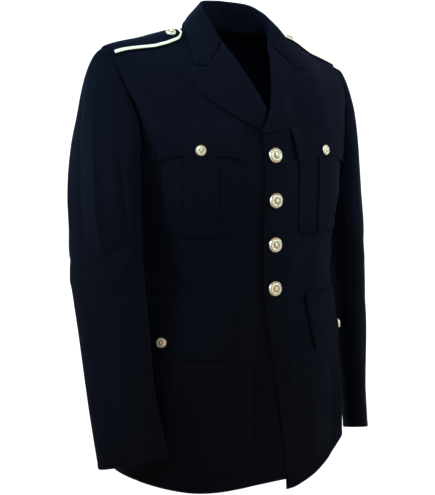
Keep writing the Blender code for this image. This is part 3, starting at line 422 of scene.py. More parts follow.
def crease_lines(table, point_at):
    """The creases of a table as lines of points on a surface, with their width and depth."""
    lines = []
    for side, a_1, b_1, a_2, b_2, bow, width, depth in table:
        t = np.linspace(0, 1, CREASE_POINTS)
        swing = bow * np.sin(math.pi * t)
        steep = abs(a_2 - a_1) / max(abs(a_1) + abs(a_2), 1e-6) < 0.25
        a = a_1 + (a_2 - a_1) * t + (swing if steep else 0.0)
        b = b_1 + (b_2 - b_1) * t + (0.0 if steep else swing)
        lines.append((side, point_at(a, b), width, depth))
    return lines


def folds(points, lines, side):
    """How far the creases lift or sink the cloth at some points."""
    flat = points.reshape(-1, 3)
    total = np.zeros(len(flat))
    for line_side, line, width, depth in lines:
        if line_side == -side:
            continue
        nearest = np.full(len(flat), 1e9)
        along = np.zeros(len(flat))
        for step in range(len(line) - 1):
            run = line[step + 1] - line[step]
            share = np.clip((flat - line[step]) @ run / (run @ run), 0.0, 1.0)
            distance = np.linalg.norm(flat - line[step] - share[:, None] * run, axis=1)
            closer = distance < nearest
            nearest[closer] = distance[closer]
            along[closer] = (step + share[closer]) / (len(line) - 1)
        fade = np.sin(math.pi * along) ** 0.8
        crest = 0.6 * bump(nearest, width) + 0.4 * bump(nearest, SHARPER * width)
        total += FOLD_DEPTH * depth * fade * crest
    return total.reshape(points.shape[:-1])


def body_folds(points, side):
    """Creases of the body, none near the neck."""
    calm = eased(0.0, -0.05, points[..., 2])
    return folds(points, BODY_LINES, side) * calm


def on_cloth(u, v, height, side):
    """Points a height above the creased body."""
    u, v = np.broadcast_arrays(np.asarray(u, float), np.asarray(v, float))
    points, normals = surface(body, u, v)
    out = np.asarray(height, float) + body_folds(points, side)
    return points + normals * out[..., None]


def find_on_body(first, second, axes, start_u, start_v):
    """The (u, v) whose two named coordinates take the given values."""
    first, second = np.broadcast_arrays(np.asarray(first, float), np.asarray(second, float))
    wanted = np.stack([first, second], axis=-1)
    u = np.full(first.shape, float(start_u))
    v = np.full(first.shape, float(start_v))
    for _ in range(40):
        off = body(u, v)[..., axes] - wanted
        du = (body(u + 1e-4, v)[..., axes] - body(u - 1e-4, v)[..., axes]) / 2e-4
        dv = (body(u, v + 1e-3)[..., axes] - body(u, v - 1e-3)[..., axes]) / 2e-3
        cross = du[..., 0] * dv[..., 1] - du[..., 1] * dv[..., 0]
        cross = np.where(np.abs(cross) < 1e-7, 1e-7, cross)
        u = u - np.clip((off[..., 0] * dv[..., 1] - off[..., 1] * dv[..., 0]) / cross, -0.05, 0.05)
        v = v - np.clip((du[..., 0] * off[..., 1] - du[..., 1] * off[..., 0]) / cross, -0.5, 0.5)
        v = np.clip(v, 0.0, TOP - 1e-3)
    return u, v


def seen_from_front(x, z):
    """The (u, v) of points given as the front shows them."""
    return find_on_body(x, z, [0, 2], 0.15, 6.0)


def girth_place(girth, z):
    """The (u, v) at a height and at a tape measure's distance round from centre front."""
    girth, z = np.broadcast_arrays(np.asarray(girth, float), np.asarray(z, float))
    ring = np.linspace(0.0, 0.9, 73)
    heights = np.linspace(z.min() - 0.01, z.max() + 0.01, 9)
    level = np.linspace(0, CHEST + 1.5, 140)
    tapes = np.empty((9, len(ring)))
    levels = np.empty((9, len(ring)))
    for number, height in enumerate(heights):
        for column, share in enumerate(ring):
            levels[number, column] = np.interp(height, body(np.full(140, share), level)[:, 2], level)
        steps = np.linalg.norm(np.diff(body(ring, levels[number]), axis=0), axis=1)
        tapes[number] = np.concatenate([[0.0], np.cumsum(steps)])
    u = np.empty(girth.shape)
    v = np.empty(girth.shape)
    for place in np.ndindex(girth.shape):
        share = np.interp(z[place], heights, np.arange(9))
        low = min(int(share), 7)
        t = share - low
        tape = tapes[low] * (1 - t) + tapes[low + 1] * t
        across = levels[low] * (1 - t) + levels[low + 1] * t
        u[place] = np.interp(girth[place], tape, ring)
        v[place] = np.interp(u[place], ring, across)
    return u, v


def patch(bottom, top, left, right):
    """A grid of points filling four edges, rows from bottom to top and columns left to right."""
    bottom, top, left, right = (np.asarray(edge, float) for edge in (bottom, top, left, right))
    s = np.linspace(0, 1, len(left))[:, None, None]
    t = np.linspace(0, 1, len(bottom))[None, :, None]
    corners = (
        (1 - s) * ((1 - t) * bottom[0] + t * bottom[-1]) + s * ((1 - t) * top[0] + t * top[-1])
    )
    return (1 - s) * bottom + s * top + (1 - t) * left[:, None] + t * right[:, None] - corners


def for_side(points, side):
    """A grid of the left half as it stands, or turned over for the right half."""
    return points if side > 0 else points[:, ::-1] * np.array([-1.0, 1.0, 1.0])


def grid_normals(grid):
    """Unit normals of a grid of points, columns turned towards rows."""

    def run(axis):
        steps = unit(np.diff(grid, axis=axis))
        first = np.take(steps, [0], axis)
        last = np.take(steps, [-1], axis)
        return np.concatenate([first, steps], axis) + np.concatenate([steps, last], axis)

    return unit(np.cross(run(1), run(0)))


def tape_along(grid, axis):
    """Distance along a grid from its first row or column."""
    steps = np.linalg.norm(np.diff(grid, axis=axis), axis=-1)
    start = np.zeros_like(np.take(steps, [0], axis))
    return np.concatenate([start, np.cumsum(steps, axis=axis)], axis=axis)


def edge_distances(grid):
    """Distance from each of a grid's four edges, measured over the cloth."""
    up = tape_along(grid, 0)
    across = tape_along(grid, 1)
    return {"bottom": up, "top": up[-1:] - up, "left": across, "right": across[:, -1:] - across}


def finished(grid, seams=(), edges=()):
    """Height of the cloth near its borders: sunk at sewn seams, swollen and rounded at turned edges."""
    height = np.zeros(grid.shape[:2])
    distance = edge_distances(grid)
    for name in seams:
        height -= SEAM_SINK * bump(distance[name], SEAM_WIDTH)
    for name in edges:
        band = 1 - eased(EDGE_BAND * 0.8, EDGE_BAND * 1.2, distance[name])
        height += EDGE_SWELL * band - (EDGE_SINK + EDGE_SWELL) * bump(distance[name], EDGE_TURN)
    return height


def edge_line(grid, edge, inset, trim=0.0):
    """Points of a grid that run along one of its edges, some way in, and their normals."""
    turned = {
        "bottom": lambda g: g,
        "top": lambda g: g[::-1],
        "left": lambda g: g.transpose(1, 0, 2),
        "right": lambda g: g[:, ::-1].transpose(1, 0, 2),
    }[edge]
    points, normals = turned(grid), turned(grid_normals(grid))
    tape = tape_along(points, 0)
    line = np.empty((points.shape[1], 3))
    facing = np.empty((points.shape[1], 3))
    for column in range(points.shape[1]):
        for axis in range(3):
            line[column, axis] = np.interp(inset, tape[:, column], points[:, column, axis])
            facing[column, axis] = np.interp(inset, tape[:, column], normals[:, column, axis])
    length = tape_along(line, 0)
    keep = (length >= trim) & (length <= length[-1] - trim)
    return line[keep], unit(facing[keep])


def settled(points):
    """The points with one shoulder a little lower and the other a little higher, as the jacket hangs."""
    height = eased(SET_FROM_Z, SET_FULL_Z, points[..., 2])
    lift = np.zeros(points.shape[:-1])
    for side, (change, start, full) in SHOULDER_SET.items():
        lift = lift + change * height * eased(start, full, points[..., 0] * side)
    return points + lift[..., None] * np.array([0.0, 0.0, 1.0])


def new_object(name, mesh, finish):
    """Put a finished mesh in the scene, on the root body, with its material."""
    slot, material = finish
    mesh.materials.append(material)
    mesh.shade_smooth()
    item = bpy.data.objects.new(name, mesh)
    bpy.context.scene.collection.objects.link(item)
    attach(item, "root")
    return item


def rim_of(rows, columns):
    """Numbers of a grid's border points, once round."""
    bottom = np.arange(columns)
    right = np.arange(1, rows) * columns + columns - 1
    top = rows * columns - 1 - np.arange(1, columns)
    left = np.arange(rows - 2, 0, -1) * columns
    return np.concatenate([bottom, right, top, left])


def outward_at_rim(grid):
    """Directions that point out of a grid at its border points."""
    out = np.zeros_like(grid)
    out[0] += unit(grid[0] - grid[1])
    out[-1] += unit(grid[-1] - grid[-2])
    out[:, 0] += unit(grid[:, 0] - grid[:, 1])
    out[:, -1] += unit(grid[:, -1] - grid[:, -2])
    return out


def shell_mesh(name, outer, inner):
    """A closed wall of quads between two grids of points, its border rounded, with cloth UVs in metres."""
    rows, columns = outer.shape[:2]
    size = rows * columns
    a = (np.arange(rows - 1)[:, None] * columns + np.arange(columns - 1)).ravel()
    quads = np.stack([a, a + 1, a + columns + 1, a + columns], axis=-1)
    rim = rim_of(rows, columns)
    around = np.roll(rim, -1)
    middle = 2 * size + np.arange(len(rim))
    middle_next = np.roll(middle, -1)
    faces = np.concatenate([
        quads,
        size + quads[:, ::-1],
        np.stack([around, rim, middle, middle_next], axis=-1),
        np.stack([middle_next, middle, size + rim, size + around], axis=-1),
    ])
    half = (outer + inner) / 2
    thick = np.linalg.norm(outer - inner, axis=-1, keepdims=True)
    border = (half + unit(outward_at_rim(half)) * thick / 2 * ROUND_EDGE).reshape(-1, 3)[rim]
    points = np.concatenate([outer.reshape(-1, 3), inner.reshape(-1, 3), border])
    across = tape_along(outer, 1)
    up = tape_along(outer, 0).mean(axis=1, keepdims=True)
    flat = np.stack([across - across[:, -1:] / 2, up + np.zeros_like(across)], axis=-1).reshape(-1, 2)
    flat = np.concatenate([flat, flat, flat[rim]])
    mesh = bpy.data.meshes.new(name)
    mesh.from_pydata(points, [], faces.tolist())
    layer = mesh.uv_layers.new(name="cloth")
    layer.uv.foreach_set("vector", flat[faces.ravel()].astype(np.float32).ravel())
    return mesh


def cut_of(grid):
    """Width, length and area of the flat cloth that a grid stands for."""
    width = float(tape_along(grid, 1)[:, -1].max())
    length = float(tape_along(grid, 0)[-1].max())
    a, b = grid[1:, 1:] - grid[:-1, :-1], grid[:-1, 1:] - grid[1:, :-1]
    area = float(np.linalg.norm(np.cross(a, b), axis=-1).sum() / 2)
    return (width, length), min(area, width * length)


def add_cloth(node, outer, inner):
    """One cloth piece as a shell that takes its solid's place."""
    outer, inner = settled(outer), settled(inner)
    piece = new_object(f"{node}_cloth", shell_mesh(node, outer, inner), CLOTH)
    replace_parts(piece, node)
    flat, area = cut_of((outer + inner) / 2)
    area = max(area, LEAST_FILL * flat[0] * flat[1])
    return piece


def add_stitches(name, lines, size=STITCH):
    """Rows of short stitches that lie in the cloth along some lines of points."""
    points = []
    faces = []
    for line, facing in lines:
        tape = tape_along(line, 0)
        pitch = size["length"] + size["gap"]
        starts = np.arange(size["gap"], tape[-1] - size["length"], pitch)
        for start in starts:
            stations = start + size["length"] * np.array([0.0, 0.18, 0.5, 0.82, 1.0])
            middle = np.stack([np.interp(stations, tape, line[:, axis]) for axis in range(3)], axis=-1)
            normal = unit(np.array([np.interp(stations[2], tape, facing[:, axis]) for axis in range(3)]))
            run = unit(middle[-1] - middle[0])
            side = np.cross(run, normal)
            rise = size["half"] * np.array([-0.9, 0.5, 0.8, 0.5, -0.9])
            first = len(points)
            points.append(middle[0] + normal * rise[0])
            for station in (1, 2, 3):
                for angle in (0.0, 0.5, 1.0, 1.5):
                    turn = math.pi * angle
                    points.append(
                        middle[station]
                        + normal * (rise[station] + size["half"] * math.sin(turn))
                        + side * size["half"] * math.cos(turn)
                    )
            points.append(middle[4] + normal * rise[4])
            for corner in range(4):
                after = (corner + 1) % 4
                ring = [first + 1 + 4 * number for number in range(3)]
                faces.append((first, ring[0] + after, ring[0] + corner))
                faces.append((ring[0] + corner, ring[0] + after, ring[1] + after, ring[1] + corner))
                faces.append((ring[1] + corner, ring[1] + after, ring[2] + after, ring[2] + corner))
                faces.append((ring[2] + corner, ring[2] + after, first + 13))
    mesh = bpy.data.meshes.new(name)
    mesh.from_pydata(settled(np.array(points)), [], faces)
    return new_object(name, mesh, THREAD)


def front_lift(x, z, side):
    """How far the left front stands off the body where it laps over the right one."""
    if side < 0:
        return np.zeros(np.shape(x))
    lift = OVERLAP_LIFT + BREAK_LIFT * eased(-0.190, -0.164, z)
    return lift * (1 - eased(0.024, 0.052, x)) * (1 - eased(-0.150, -0.055, z))


def armhole(turn):
    """(u, v) of the armhole seam, from its foot at -90 degrees forward and over the shoulder."""
    turn = (np.asarray(turn, float) + 90) % 360 - 90
    front = np.array(FRONT_ARMHOLE)
    back = np.array(BACK_ARMHOLE)
    ahead = smooth_rows(front[:, 1:], (turn + 90) / 30)
    behind = smooth_rows(back[:, 1:], (turn - 90) / 30)
    behind[..., 0] = 1 - behind[..., 0]
    return np.where((turn <= 90)[..., None], ahead, behind)


def hem_level(u, side):
    """Level of the hem: the right front is short at its edge, the left half rises to its side."""
    if side > 0:
        return 0.42 * eased(0.03, 0.30, u) * (1 - eased(0.62, 0.95, u))
    return 0.03 + 0.11 * (1 - eased(0.0, 0.24, u)) - 0.03 * eased(0.62, 0.95, u)


def front_edge_x(level, side):
    """The lap past centre front; the left edge swings away towards the hem."""
    return OVERLAP - HEM_SWING[side] * eased(3.2, 0.0, level)


def side_to_shoulder(seam, turns, low_rows, high_rows):
    """(u, v) up a side seam and round the armhole to the shoulder."""
    join = armhole([turns[0]])[0]
    level = join[1] * np.concatenate([HEM_SHARES, np.linspace(0.015, 1, low_rows - 4)])
    lower = np.stack([seam + (join[0] - seam) * eased(4.2, join[1], level), level], axis=-1)
    share = np.concatenate([np.linspace(0, 0.994, high_rows - 2)[1:], [0.996, 0.998, 1.0]])
    upper = armhole(turns[0] + (turns[1] - turns[0]) * share)
    upper[-1, 1] = SHOULDER_LEVEL
    if seam > 0.5:
        upper[-1, 0] = 1 - upper[-1, 0]
    return np.concatenate([lower, upper])


def roll_at(z):
    """(x, z) of the roll line at some heights."""
    roll = smooth_points(ROLL_LINE, 61)
    return np.stack([np.interp(z, roll[:, 1], roll[:, 0]), z], axis=-1)


def front_inner_edge(levels, side):
    """(u, v) up the front edge, the roll line and the front neck."""
    roll = roll_at(np.linspace(ROLL_LINE[0][1], ROLL_LINE[-1][1], 40))
    roll_u, roll_v = seen_from_front(roll[:, 0], roll[:, 1])
    neck_u = math.asin(NECK_HALF / BODY_LEVELS["shoulder"][3]) / math.pi
    edge_u = np.interp(levels, np.append(roll_v, TOP), np.append(roll_u, neck_u))
    set_back = np.interp(
        levels, [roll_v[0], roll_v[6], roll_v[-1], TOP], [0.0, EDGE_SET_BACK, EDGE_SET_BACK, NECK_SET_BACK]
    )
    for row in np.nonzero(levels < roll_v[0])[0]:
        width = body(np.array([0.5]), levels[row : row + 1])[0, 0]
        edge_u[row] = -math.asin(front_edge_x(levels[row], side) / width) / math.pi
    return np.stack([edge_u + set_back, levels], axis=-1)


def panel_grids(grid, side, seams, edges):
    """Outer and inner faces of one cut piece of the body, creased and finished at its borders."""
    u, v = grid[..., 0], grid[..., 1]
    hem = hem_level(np.clip(u, 0, 1), side)
    v = hem + v * (1 - hem / TOP)
    flat = body(u, v)
    lift = np.where(u < 0.5, front_lift(flat[..., 0], flat[..., 2], side), 0.0)
    border = finished(flat, seams, edges)
    outer = for_side(on_cloth(u, v, lift + border, side), side)
    inner = for_side(on_cloth(u, v, lift - WALL + INNER_SHARE * border, side), side)
    return outer, inner


def build_front(word, side):
    """The front, with its edge stitching; the left one has the buttonholes."""
    outer_edge = side_to_shoulder(FRONT_SEAM, (SEAM_TURN, 90), 96, 50)
    inner_edge = front_inner_edge(outer_edge[:, 1], side)
    share = dense_ends(84)[None, :, None]
    grid = inner_edge[:, None] * (1 - share) + outer_edge[:, None] * share
    outer, inner = panel_grids(grid, side, ("right", "top"), ("left", "bottom"))
    piece = add_cloth(f"front_{word}", outer, inner)
    edge = "left" if side > 0 else "right"
    line, facing = edge_line(outer, edge, STITCH_INSET)
    below = line[:, 2] < ROLL_LINE[0][1]
    add_stitches(f"front_{word}_stitches", [(line[below], facing[below])])
    return piece


def build_side(word, side):
    """The side piece under the arm."""
    shares = dense_ends(30)
    turns = SEAM_TURN - 60 * shares
    top = np.where((turns < -90)[:, None], armhole(turns + 360), armhole(turns))
    low = np.stack([FRONT_SEAM + (BACK_SEAM - FRONT_SEAM) * shares, np.zeros(len(shares))], axis=-1)
    rise = np.concatenate([HEM_SHARES, np.linspace(0.015, 1, 90)])
    level = rise[:, None, None] * top[None, :, 1:]
    across = low[None, :, :1] + (top[None, :, :1] - low[None, :, :1]) * eased(4.2, 5.1, level)
    gap = PANEL_GAP * (1 - 2 * shares)[None, :, None]
    grid = np.concatenate([across + gap, level], axis=-1)
    outer, inner = panel_grids(grid, side, ("left", "right", "top"), ("bottom",))
    add_cloth(f"side_{word}", outer, inner)


def neck_places(count, wider=0.0):
    """(u, v) along the back neck from the side neck to the nape."""
    turn = np.linspace(0, math.pi / 2, count)
    x = (NECK_HALF + wider) * np.cos(turn)
    u = 1 - np.arcsin(x / BODY_LEVELS["shoulder"][3]) / math.pi
    drop = SHOULDER_LEVEL - NAPE_LEVEL + wider / BODY_LEVELS["slope"][5]
    return np.stack([u, SHOULDER_LEVEL - drop * np.sin(turn)], axis=-1)


def build_back(word, side):
    """One half of the back, seamed at its centre."""
    outer_edge = side_to_shoulder(BACK_SEAM, (300 + SEAM_TURN, 90), 96, 50)
    neck = neck_places(22, BACK_NECK_GAP)
    shoulder_u = np.linspace(outer_edge[-1, 0], neck[0, 0], 50)[:-1]
    top = np.concatenate([np.stack([shoulder_u, np.full(49, SHOULDER_LEVEL)], axis=-1), neck])
    centre = 1 - CENTRE_GAP
    bottom = np.stack([np.linspace(BACK_SEAM, centre, len(top)), np.zeros(len(top))], axis=-1)
    top[-1, 0] = centre
    rise = outer_edge[:, 1] * neck[-1, 1] / outer_edge[-1, 1]
    middle = np.stack([np.full(len(rise), centre), rise], axis=-1)
    grid = patch(bottom, top, outer_edge, middle)
    outer, inner = panel_grids(grid, side, ("left", "right", "top"), ("bottom",))
    add_cloth(f"back_{word}", outer, inner)


def sleeve_ring(turn, place, side):
    """The sleeve below the cap: turn 0 at its front fold, 90 outside; place 0 at the cuff."""
    rows = list(SLEEVE_LEVELS.values())[::-1]
    z, x, y, thick, wide, inward, rise = np.moveaxis(smooth_rows(rows, place), -1, 0)
    outward = smooth_rows(np.array(OUTER_FACE[side])[:, None], place)[..., 0] / 2
    x, thick = x + outward, thick + outward
    z = z - CUFF_DROP[side] * (1 - place / (CUFF - 1))
    turn, inward = np.radians(turn), np.radians(inward)
    across = thick * np.sin(turn)
    along = -wide * np.cos(turn)
    return np.stack(
        [
            x + across * np.cos(inward) + along * np.sin(inward),
            y - across * np.sin(inward) + along * np.cos(inward),
            z + rise * np.cos(turn),
        ],
        axis=-1,
    )


def sleeve(turn, place, side):
    """The sleeve's outer face, from the cuff, place 0, to the armhole seam, place CUFF."""
    turn, place = np.broadcast_arrays(np.asarray(turn, float), np.asarray(place, float))
    last = CUFF - 1.0
    arm = sleeve_ring(turn, np.minimum(place, last), side)
    u, v = np.moveaxis(armhole(turn), -1, 0)
    v = np.minimum(v, SHOULDER_LEVEL)
    seam, normal = surface(body, u, v)
    ahead, behind = (np.moveaxis(armhole(turn + step), -1, 0) for step in (SEAM_RUN, -SEAM_RUN))
    run = unit(body(*ahead) - body(*behind))
    out = unit(np.cross(run, normal))
    under = ((1 - np.sin(np.radians(turn))) / 2)[..., None]
    lean = np.radians(CAP_LEAN + CAP_TURN * under)
    leave = out * np.cos(lean) + normal * np.sin(lean)
    reach = CAP_REACH[side] * (1 - under) + UNDERARM_REACH
    start = seam + out * SEAM_STEP + normal * SEAM_LIFT * under
    end = sleeve_ring(turn, np.full(turn.shape, last), side)
    rise = (end - sleeve_ring(turn, np.full(turn.shape, last - 0.05), side)) / 0.05 * CAP_STRETCH
    t = np.clip(place - last, 0.0, 1.0)[..., None]
    cap = (
        end * (1 + 2 * t) * (1 - t) ** 2
        + rise * t * (1 - t) ** 2
        + start * t * t * (3 - 2 * t)
        + leave * reach * t * t * (1 - t)
    )
    return np.where((place > last)[..., None], cap, arm)


def build_sleeve(word, side):
    """The outer and the under sleeve, which meet inside the front fold and at the elbow."""
    low = np.concatenate([[0.0, 0.012, 0.03, 0.055], np.linspace(0.09, 4, 84)])
    high = 4 + np.concatenate([np.linspace(0, 0.97, 40)[1:], [0.985, 1.0]])
    places = np.concatenate([low, high])
    front, back = SLEEVE_SEAMS

    def side_sleeve(turn, place):
        return sleeve(turn, place, side)

    lines = crease_lines(SLEEVE_CREASES, side_sleeve)
    for node, first, last in (
        (f"sleeve_top_{word}", front + HALF_SEAM, back - HALF_SEAM),
        (f"sleeve_under_{word}", back + HALF_SEAM, front + 360 - HALF_SEAM),
    ):
        turn, place = np.meshgrid(first + (last - first) * dense_ends(76), places)
        points, normals = surface(side_sleeve, turn, place, 0.2, 0.01)
        lift = folds(points, lines, side) * eased(5.0, 4.7, place) * eased(0.0, 0.3, place)
        border = finished(points, ("left", "right", "top"), ("bottom",))
        outer = points + normals * (lift + border)[..., None]
        inner = points + normals * (lift - WALL + INNER_SHARE * border)[..., None]
        add_cloth(node, for_side(outer, side), for_side(inner, side))


def sheet_grids(middle, thick, side, seams=(), edges=()):
    """Outer and inner faces of a wall of even thickness about a grid of middle points."""
    normals = grid_normals(middle)
    border = finished(middle, seams, edges)[..., None]
    outer = middle + normals * (thick / 2 + border)
    inner = middle - normals * thick / 2
    return for_side(outer, side), for_side(inner, side)


def turned_height(share):
    """Height of the turned cloth's middle above the front, from the roll, 0, to its edge, 1."""
    return EDGE_HEIGHT + (ROLL_HEIGHT - EDGE_HEIGHT) * (1 - share) ** 2


def on_front(x, z, height, side):
    """Points above the creased front, over the lap of the left one too."""
    u, v = seen_from_front(x, z)
    return on_cloth(u, v, height + front_lift(x, z, side), side)


def build_lapel(word, side):
    """The turned-back lapel, rolled round the front's edge from the gorge to the break."""
    rows, columns = 72, 40
    edge = smooth_points([LAPEL_END[side], *LAPEL_EDGE[::-1]], rows)
    roll = roll_at(np.linspace(BREAK_Z[side], ROLL_LINE[-1][1], rows))
    drop = np.array([0.0, -0.0006])
    start, notch, tip = np.array(roll[-1]) + drop, np.array(GORGE_END) + drop, np.array(LAPEL_TIP)
    roll[-1] = start
    turn = 2 * columns // 3
    step = np.linspace(0, 1, columns - turn)[1:, None]
    top = np.concatenate([
        start + (notch - start) * np.linspace(0, 1, turn + 1)[:, None],
        notch + (tip - notch) * step + np.array([0.0, 0.0015]) * np.sin(math.pi * step),
    ])
    bottom = np.linspace(roll[0], LAPEL_END[side], columns)
    flat = patch(bottom, top, roll, edge)
    share = np.linspace(0, 1, columns)[None, :]
    lying = on_front(flat[..., 0], flat[..., 1], turned_height(share) + np.zeros(flat.shape[:2]), side)
    u, v = seen_from_front(roll[:, 0], roll[:, 1])
    lift = front_lift(roll[:, 0], roll[:, 1], side)
    base, normal = surface(body, u, v)
    base = base + normal * (lift + body_folds(base, side))[:, None]
    run = unit(np.gradient(base, axis=0))
    out = unit(np.cross(run, normal))
    fold = [base + normal * FOLD_LOW + out * FOLD_LEG]
    for angle in np.radians(np.linspace(180, 15, 12)):
        fold.append(
            base
            + normal * (FOLD_CENTRE + FOLD_RADIUS * math.cos(angle))
            - out * FOLD_RADIUS * math.sin(angle)
        )
    middle = np.concatenate([np.stack(fold, axis=1), lying], axis=1)
    outer, inner = sheet_grids(middle, TRIM_WALL, side, (), ("right", "top"))
    add_cloth(f"lapel_{word}", outer, inner)
    edges = [edge_line(outer, "right" if side > 0 else "left", STITCH_INSET)]
    add_stitches(f"lapel_{word}_stitches", edges)


def over_shoulder(x, y, height):
    """Points above the body's top, given in plan."""
    x, y = np.broadcast_arrays(np.asarray(x, float), np.asarray(y, float))
    ahead = find_on_body(x, np.minimum(y, -2e-4), [0, 1], 0.2, 8.6)
    behind = find_on_body(x, np.maximum(y, 2e-4), [0, 1], 0.85, 8.6)
    u = np.where(y < 0, ahead[0], behind[0])
    v = np.where(y < 0, ahead[1], behind[1])
    points, normals = surface(body, u, v)
    return points + normals * (height + np.zeros(x.shape))[..., None]


def neck_line(count):
    """(u, v) of the neck edge from the gorge to the nape."""
    start = np.array([float(value) for value in seen_from_front(*ROLL_LINE[-1])])
    end = np.array([math.asin(NECK_HALF / BODY_LEVELS["shoulder"][3]) / math.pi, SHOULDER_LEVEL])
    share = np.linspace(0, 1, count // 2 + 1)[:-1, None]
    return np.concatenate([start + (end - start) * share, neck_places(count - count // 2)])


def kept_off(points, height):
    """Points raised where they would come nearer than a height to the body's top."""
    x = np.clip(points[:, 0], 0.004, None)
    low = over_shoulder(x, points[:, 1], 0.0)
    high = over_shoulder(x, points[:, 1], 0.001)
    slope = np.clip((high - low)[:, 2] / 0.001, 0.35, 1.0)
    gap = (points[:, 2] - low[:, 2]) * slope - height
    return points + (high - low) / 0.001 * np.clip(-gap, 0.0, 0.02)[:, None]


def collar_half(stations):
    """Middle points of the left half of the collar, stations from the gorge to centre back."""
    neck_u, neck_v = neck_line(stations).T
    seam = body(neck_u, neck_v)
    place = np.linspace(0, 4, stations)
    share = (place / 4)[:, None]
    crest = smooth_rows(COLLAR_CREST, place)
    edge = smooth_rows(COLLAR_EDGE, place)
    clear = EDGE_HEIGHT + LEAF_CLEAR * eased(0.0, 0.3, share[:, 0])
    brim = over_shoulder(edge[:, 0], edge[:, 1], clear)
    tip = on_front(*COLLAR_TIP, EDGE_HEIGHT, 1)
    brim = brim + (tip - brim[0]) * eased(0.10, 0.0, share)
    gorge, before = (body(*seen_from_front(*point)) for point in (ROLL_LINE[-1], ROLL_LINE[-2]))
    _, normal = surface(body, *(np.atleast_1d(value) for value in seen_from_front(*ROLL_LINE[-1])))
    normal = normal[0]
    gorge_out = unit(np.cross(gorge - before, normal))
    turn = eased(0.0, 0.4, share)
    top = unit(-gorge_out * (1 - turn) + unit(crest - (seam + brim) / 2) * turn)
    outward = normal * (1 - turn) + unit(brim - seam) * turn
    outward = unit(outward - top * np.sum(outward * top, axis=1, keepdims=True))
    radius = CREST_RADIUS + (FOLD_RADIUS - CREST_RADIUS) * (1 - turn)
    first_heart = gorge + normal * FOLD_CENTRE
    heart = crest - top * radius
    heart = heart + (first_heart - heart[0]) * (1 - turn)
    neck_points, neck_normals = surface(body, neck_u, neck_v)
    foot = neck_points + neck_normals * FOLD_LOW + gorge_out * FOLD_LEG * (1 - eased(0.0, 0.16, share))
    stand_top = heart - outward * radius
    rows = [foot + (stand_top - foot) * part for part in np.linspace(0, 1, 12)[:-1]]
    for angle in np.radians(np.linspace(-90, 90, 15)):
        rows.append(heart + (outward * math.sin(angle) + top * math.cos(angle)) * radius)
    leaf_start = rows[-1]
    notch = on_front(*GORGE_END, EDGE_HEIGHT, 1)
    near = eased(0.30, 0.0, share)
    for part in np.linspace(0, 1, 26)[1:]:
        leaf = leaf_start * (1 - part) + brim * part + outward * LEAF_BULGE * math.sin(math.pi * part)
        if part < 1:
            height = turned_height(part) * (1 - turn[:, 0]) + (EDGE_HEIGHT + LEAF_CLEAR) * turn[:, 0]
            leaf = kept_off(leaf, height)
            at = min(part / 0.8, 1.0)
            corner = leaf_start[0] * (1 - at) + notch * at
            corner = on_front(corner[0], corner[2], turned_height(0.62 * at), 1)
            beyond = max(part - 0.8, 0.0) / 0.2
            corner = corner * (1 - beyond) + brim[0] * beyond
            leaf = leaf + (corner - leaf[0]) * near
        rows.append(leaf)
    return np.stack(rows, axis=1)


def build_collar():
    """One folded band, the stand inside and the leaf outside, from gorge to gorge."""
    half = collar_half(61)
    half[-1, :, 0] = 0.0
    other = half[-2::-1] * np.array([-1.0, 1.0, 1.0])
    middle = np.concatenate([half, other])
    outer, inner = sheet_grids(middle, TRIM_WALL, 1, (), ("right", "bottom", "top"))
    add_cloth("collar", outer, inner)
    add_stitches("collar_stitches", [edge_line(outer, "right", STITCH_INSET, STITCH_INSET)])


def lay(girth, z, low, high, side, seams=(), edges=()):
    """Outer and inner faces of a piece that lies on the body between two heights above it."""
    u, v = girth_place(girth, z)
    flat = body(u, v)
    border = finished(flat, seams, edges)
    lift = front_lift(flat[..., 0], flat[..., 2], side)
    outer = for_side(on_cloth(u, v, high + border + lift, side), side)
    return outer, for_side(on_cloth(u, v, low + lift, side), side)


def build_chest_pocket(word, side):
    """A patch pocket with a raised box pleat down its middle."""
    size, pleat, place = CHEST_POCKET, CHEST_PLEAT, CHEST_PLACES[side]
    near, far = place["near"], place["far"]
    fold = np.array([place["pleat"] - pleat["half"], place["pleat"] + pleat["half"]])
    beside = np.array([-0.0030, -0.0014, -0.0006, -0.0001, 0.0004, 0.0012, 0.0026])
    girth = np.concatenate([
        near + dense_ends(14, 0.03)[:-3] * (fold[0] - near - 0.004),
        fold[0] + beside,
        np.linspace(fold[0] + 0.005, fold[1] - 0.005, 12),
        fold[1] - beside[::-1],
        far - dense_ends(14, 0.03)[:-3][::-1] * (far - fold[1] - 0.004),
    ])
    inside = eased(fold[0] - 0.0009, fold[0] + 0.0005, girth)
    inside = inside * eased(fold[1] + 0.0009, fold[1] - 0.0005, girth)
    dip = sum(bump(girth - line, 0.0013) for line in (fold[0] - 0.0012, fold[1] + 0.0012))
    roll = sum(bump(girth - line, 0.0016) for line in (fold[0] + 0.0012, fold[1] - 0.0012))
    raised = (pleat["rise"] + 0.0005) * inside + 0.0005 * roll - 0.0009 * dip
    rows = dense_ends(60, 0.012)[:, None]
    from_side = np.clip(np.minimum(girth - near, far - girth) / size["corner"], 0, 1)
    inset = size["corner"] * (1 - np.sqrt(1 - (1 - from_side) ** 2))
    z = (size["bottom"] + inset * 0.8) * (1 - rows) + size["top"] * rows
    puff = POCKET_PUFF * np.sin(math.pi * rows) * np.sin(math.pi * (girth - near) / (far - near))
    low = np.full(z.shape, 0.0002)
    high = LAID_ON + POCKET_WALL + raised + puff
    outer, inner = lay(girth + np.zeros(z.shape), z, low, high, side, (), ("left", "right", "bottom"))
    add_cloth(f"chest_pocket_{word}", outer, inner)
    inset = TRIM_STITCH_INSET
    lines = [edge_line(outer, edge, inset, inset) for edge in ("left", "right", "bottom")]
    add_stitches(f"chest_pocket_{word}_stitches", lines)


